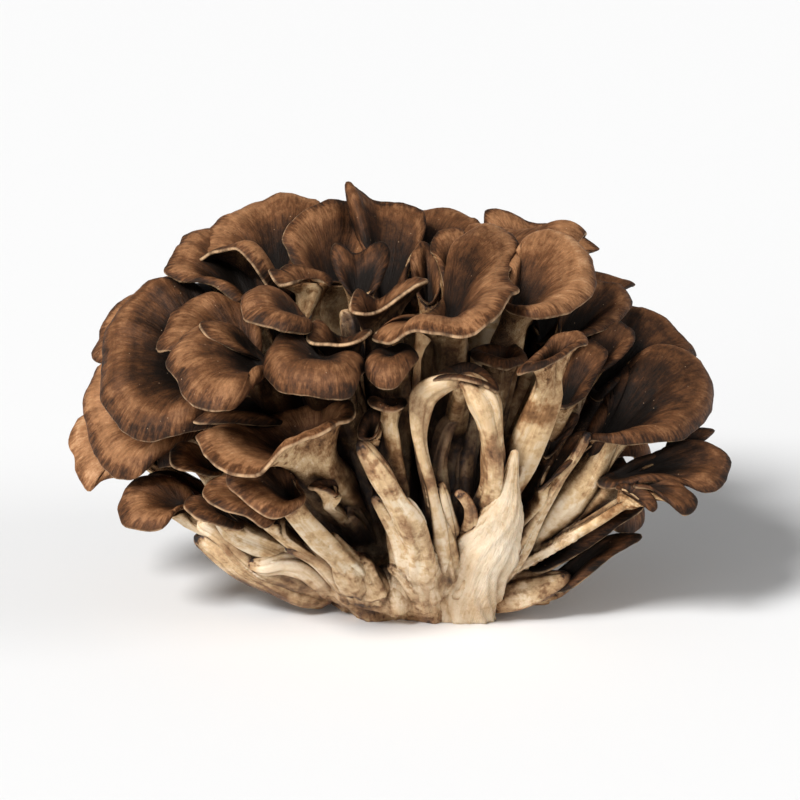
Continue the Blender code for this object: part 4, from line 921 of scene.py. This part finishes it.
def trunk():
    """One mesh from all the stems' lower parts and the foot, remeshed as a whole, smoothed so that forks
    web over, ribbed along the stem nearest to each point, and flat at the cut."""
    rng = np.random.default_rng(11)
    turn = np.linspace(0, 2 * math.pi, TRUNK_TUBE_SIDES, endpoint=False)
    points, faces, start = [], [], 0
    for rings in [foot_rings()] + [tube(path, radius, turn) for path, radius in stem_lines]:
        skin, sides = closed_grid(rings, start)
        points.append(skin)
        faces += sides
        start += len(skin)
    mesh = bpy.data.meshes.new("trunk_rough")
    mesh.from_pydata((np.vstack(points) * MM).tolist(), [], faces)
    rough = bpy.data.objects.new("trunk_rough", mesh)
    bpy.context.scene.collection.objects.link(rough)
    joined = rough.modifiers.new("joined", "REMESH")
    joined.mode = "VOXEL"
    joined.voxel_size = TRUNK_MESH * MM
    webbed = rough.modifiers.new("webbed", "SMOOTH")
    webbed.iterations = WEBBING_STEPS
    bpy.context.view_layer.update()
    mesh = bpy.data.meshes.new_from_object(rough.evaluated_get(bpy.context.evaluated_depsgraph_get()))
    bpy.data.objects.remove(rough)
    place = vectors_of(mesh, "co") / MM
    normal = vectors_of(mesh, "normal")

    lines = np.vstack([path for path, _ in stem_lines])
    girth = np.concatenate([radius for _, radius in stem_lines])
    runs = np.concatenate([along(path) for path, _ in stem_lines])
    sides, fronts = (np.vstack(way) for way in zip(*[frames(path) for path, _ in stem_lines]))
    shift = np.vstack([np.repeat(rng.uniform(0, 90, (1, 3)), len(path), axis=0) for path, _ in stem_lines])
    nearest = np.concatenate([(np.linalg.norm(chunk[:, None] - lines, axis=-1) / girth).argmin(axis=1)
                              for chunk in np.array_split(place, 1 + len(place) // 4000)])
    off = place - lines[nearest]
    grain = np.stack([(off * sides[nearest]).sum(axis=1), (off * fronts[nearest]).sum(axis=1),
                      LENGTHWISE * runs[nearest]], axis=1)
    turn = np.arctan2(grain[:, 1], grain[:, 0])
    rib = 0.35 * np.sin(5 * turn + shift[nearest, 0]) \
        + 0.22 * np.sin(9 * turn + runs[nearest] / 6 + shift[nearest, 1]) \
        + 0.12 * np.sin(17 * turn + runs[nearest] / 4)
    place = place + rib[:, None] * normal
    place[:, 2] = np.maximum(place[:, 2], 0)
    mesh.vertices.foreach_set("co", ((place + TO_FRAME) * MM).ravel())
    mark(mesh, "grain", grain + shift[nearest])
    mark(mesh, "stain", np.clip(0.32 - place[:, 2] / 60, 0.12, 0.32))
    piece_of_cluster("trunk", mesh, STEM_FLESH)


trunk()


# ----------------------------------------------------------------------
# The studio: a plain pale floor, a large soft key light from the upper left in front, a weaker fill, and an
# even pale room. The camera stands in front and a little above, far off with a long lens.

CAMERA_HEIGHT_DEG = 15.0
CAMERA_DISTANCE = 1.2
FRAMED_WIDTH = 0.240  # what the picture spans at the cluster's middle
AIM = np.array([0.0017, -0.0006, 0.0628])


def floor():
    """A wide square under the cluster."""
    half = 6.0
    mesh = bpy.data.meshes.new("floor")
    corners = [(-half, -half, 0), (half, -half, 0), (half, half, 0), (-half, half, 0)]
    mesh.from_pydata(corners, [], [(0, 1, 2, 3)])
    made, _, shader = new_material("pale_floor")
    shader.inputs["Base Color"].default_value = linear("eeeeee")
    shader.inputs["Roughness"].default_value = 0.9
    mesh.materials.append(made)
    ground = bpy.data.objects.new("floor", mesh)
    bpy.context.scene.collection.objects.link(ground)


def aimed(place):
    """Rotation that turns a light's or camera's -Z axis from its place towards the cluster."""
    return Vector(AIM - np.array(place)).to_track_quat("-Z", "Y").to_euler()


def soft_light(name, place, spread_deg, strength):
    """A wide, distant light that shines from its place towards the cluster."""
    lamp = bpy.data.lights.new(name, "SUN")
    lamp.angle = math.radians(spread_deg)
    lamp.energy = strength
    holder = bpy.data.objects.new(name, lamp)
    holder.location = place
    holder.rotation_euler = aimed(place)
    bpy.context.scene.collection.objects.link(holder)


floor()
soft_light("key", (-0.8, -1.0, 1.2), 18, 3.8)
soft_light("fill", (1.3, -0.5, 0.9), 30, 0.7)
soft_light("low_fill", (-0.8, -1.1, 0.18), 40, 1.1)

room = bpy.data.worlds.new("room")
room.use_nodes = True
room.node_tree.nodes["Background"].inputs["Color"].default_value = linear("ffffff")
room.node_tree.nodes["Background"].inputs["Strength"].default_value = 0.20
bpy.context.scene.world = room
bpy.context.scene.view_settings.view_transform = "Standard"

lens = bpy.data.cameras.new("camera")
lens.lens = lens.sensor_width / 2 / (FRAMED_WIDTH / 2 / CAMERA_DISTANCE)
camera = bpy.data.objects.new("camera", lens)
tilt = math.radians(CAMERA_HEIGHT_DEG)
camera.location = AIM + CAMERA_DISTANCE * np.array([0, -math.cos(tilt), math.sin(tilt)])
camera.rotation_euler = aimed(camera.location)
bpy.context.scene.collection.objects.link(camera)
bpy.context.scene.camera = camera
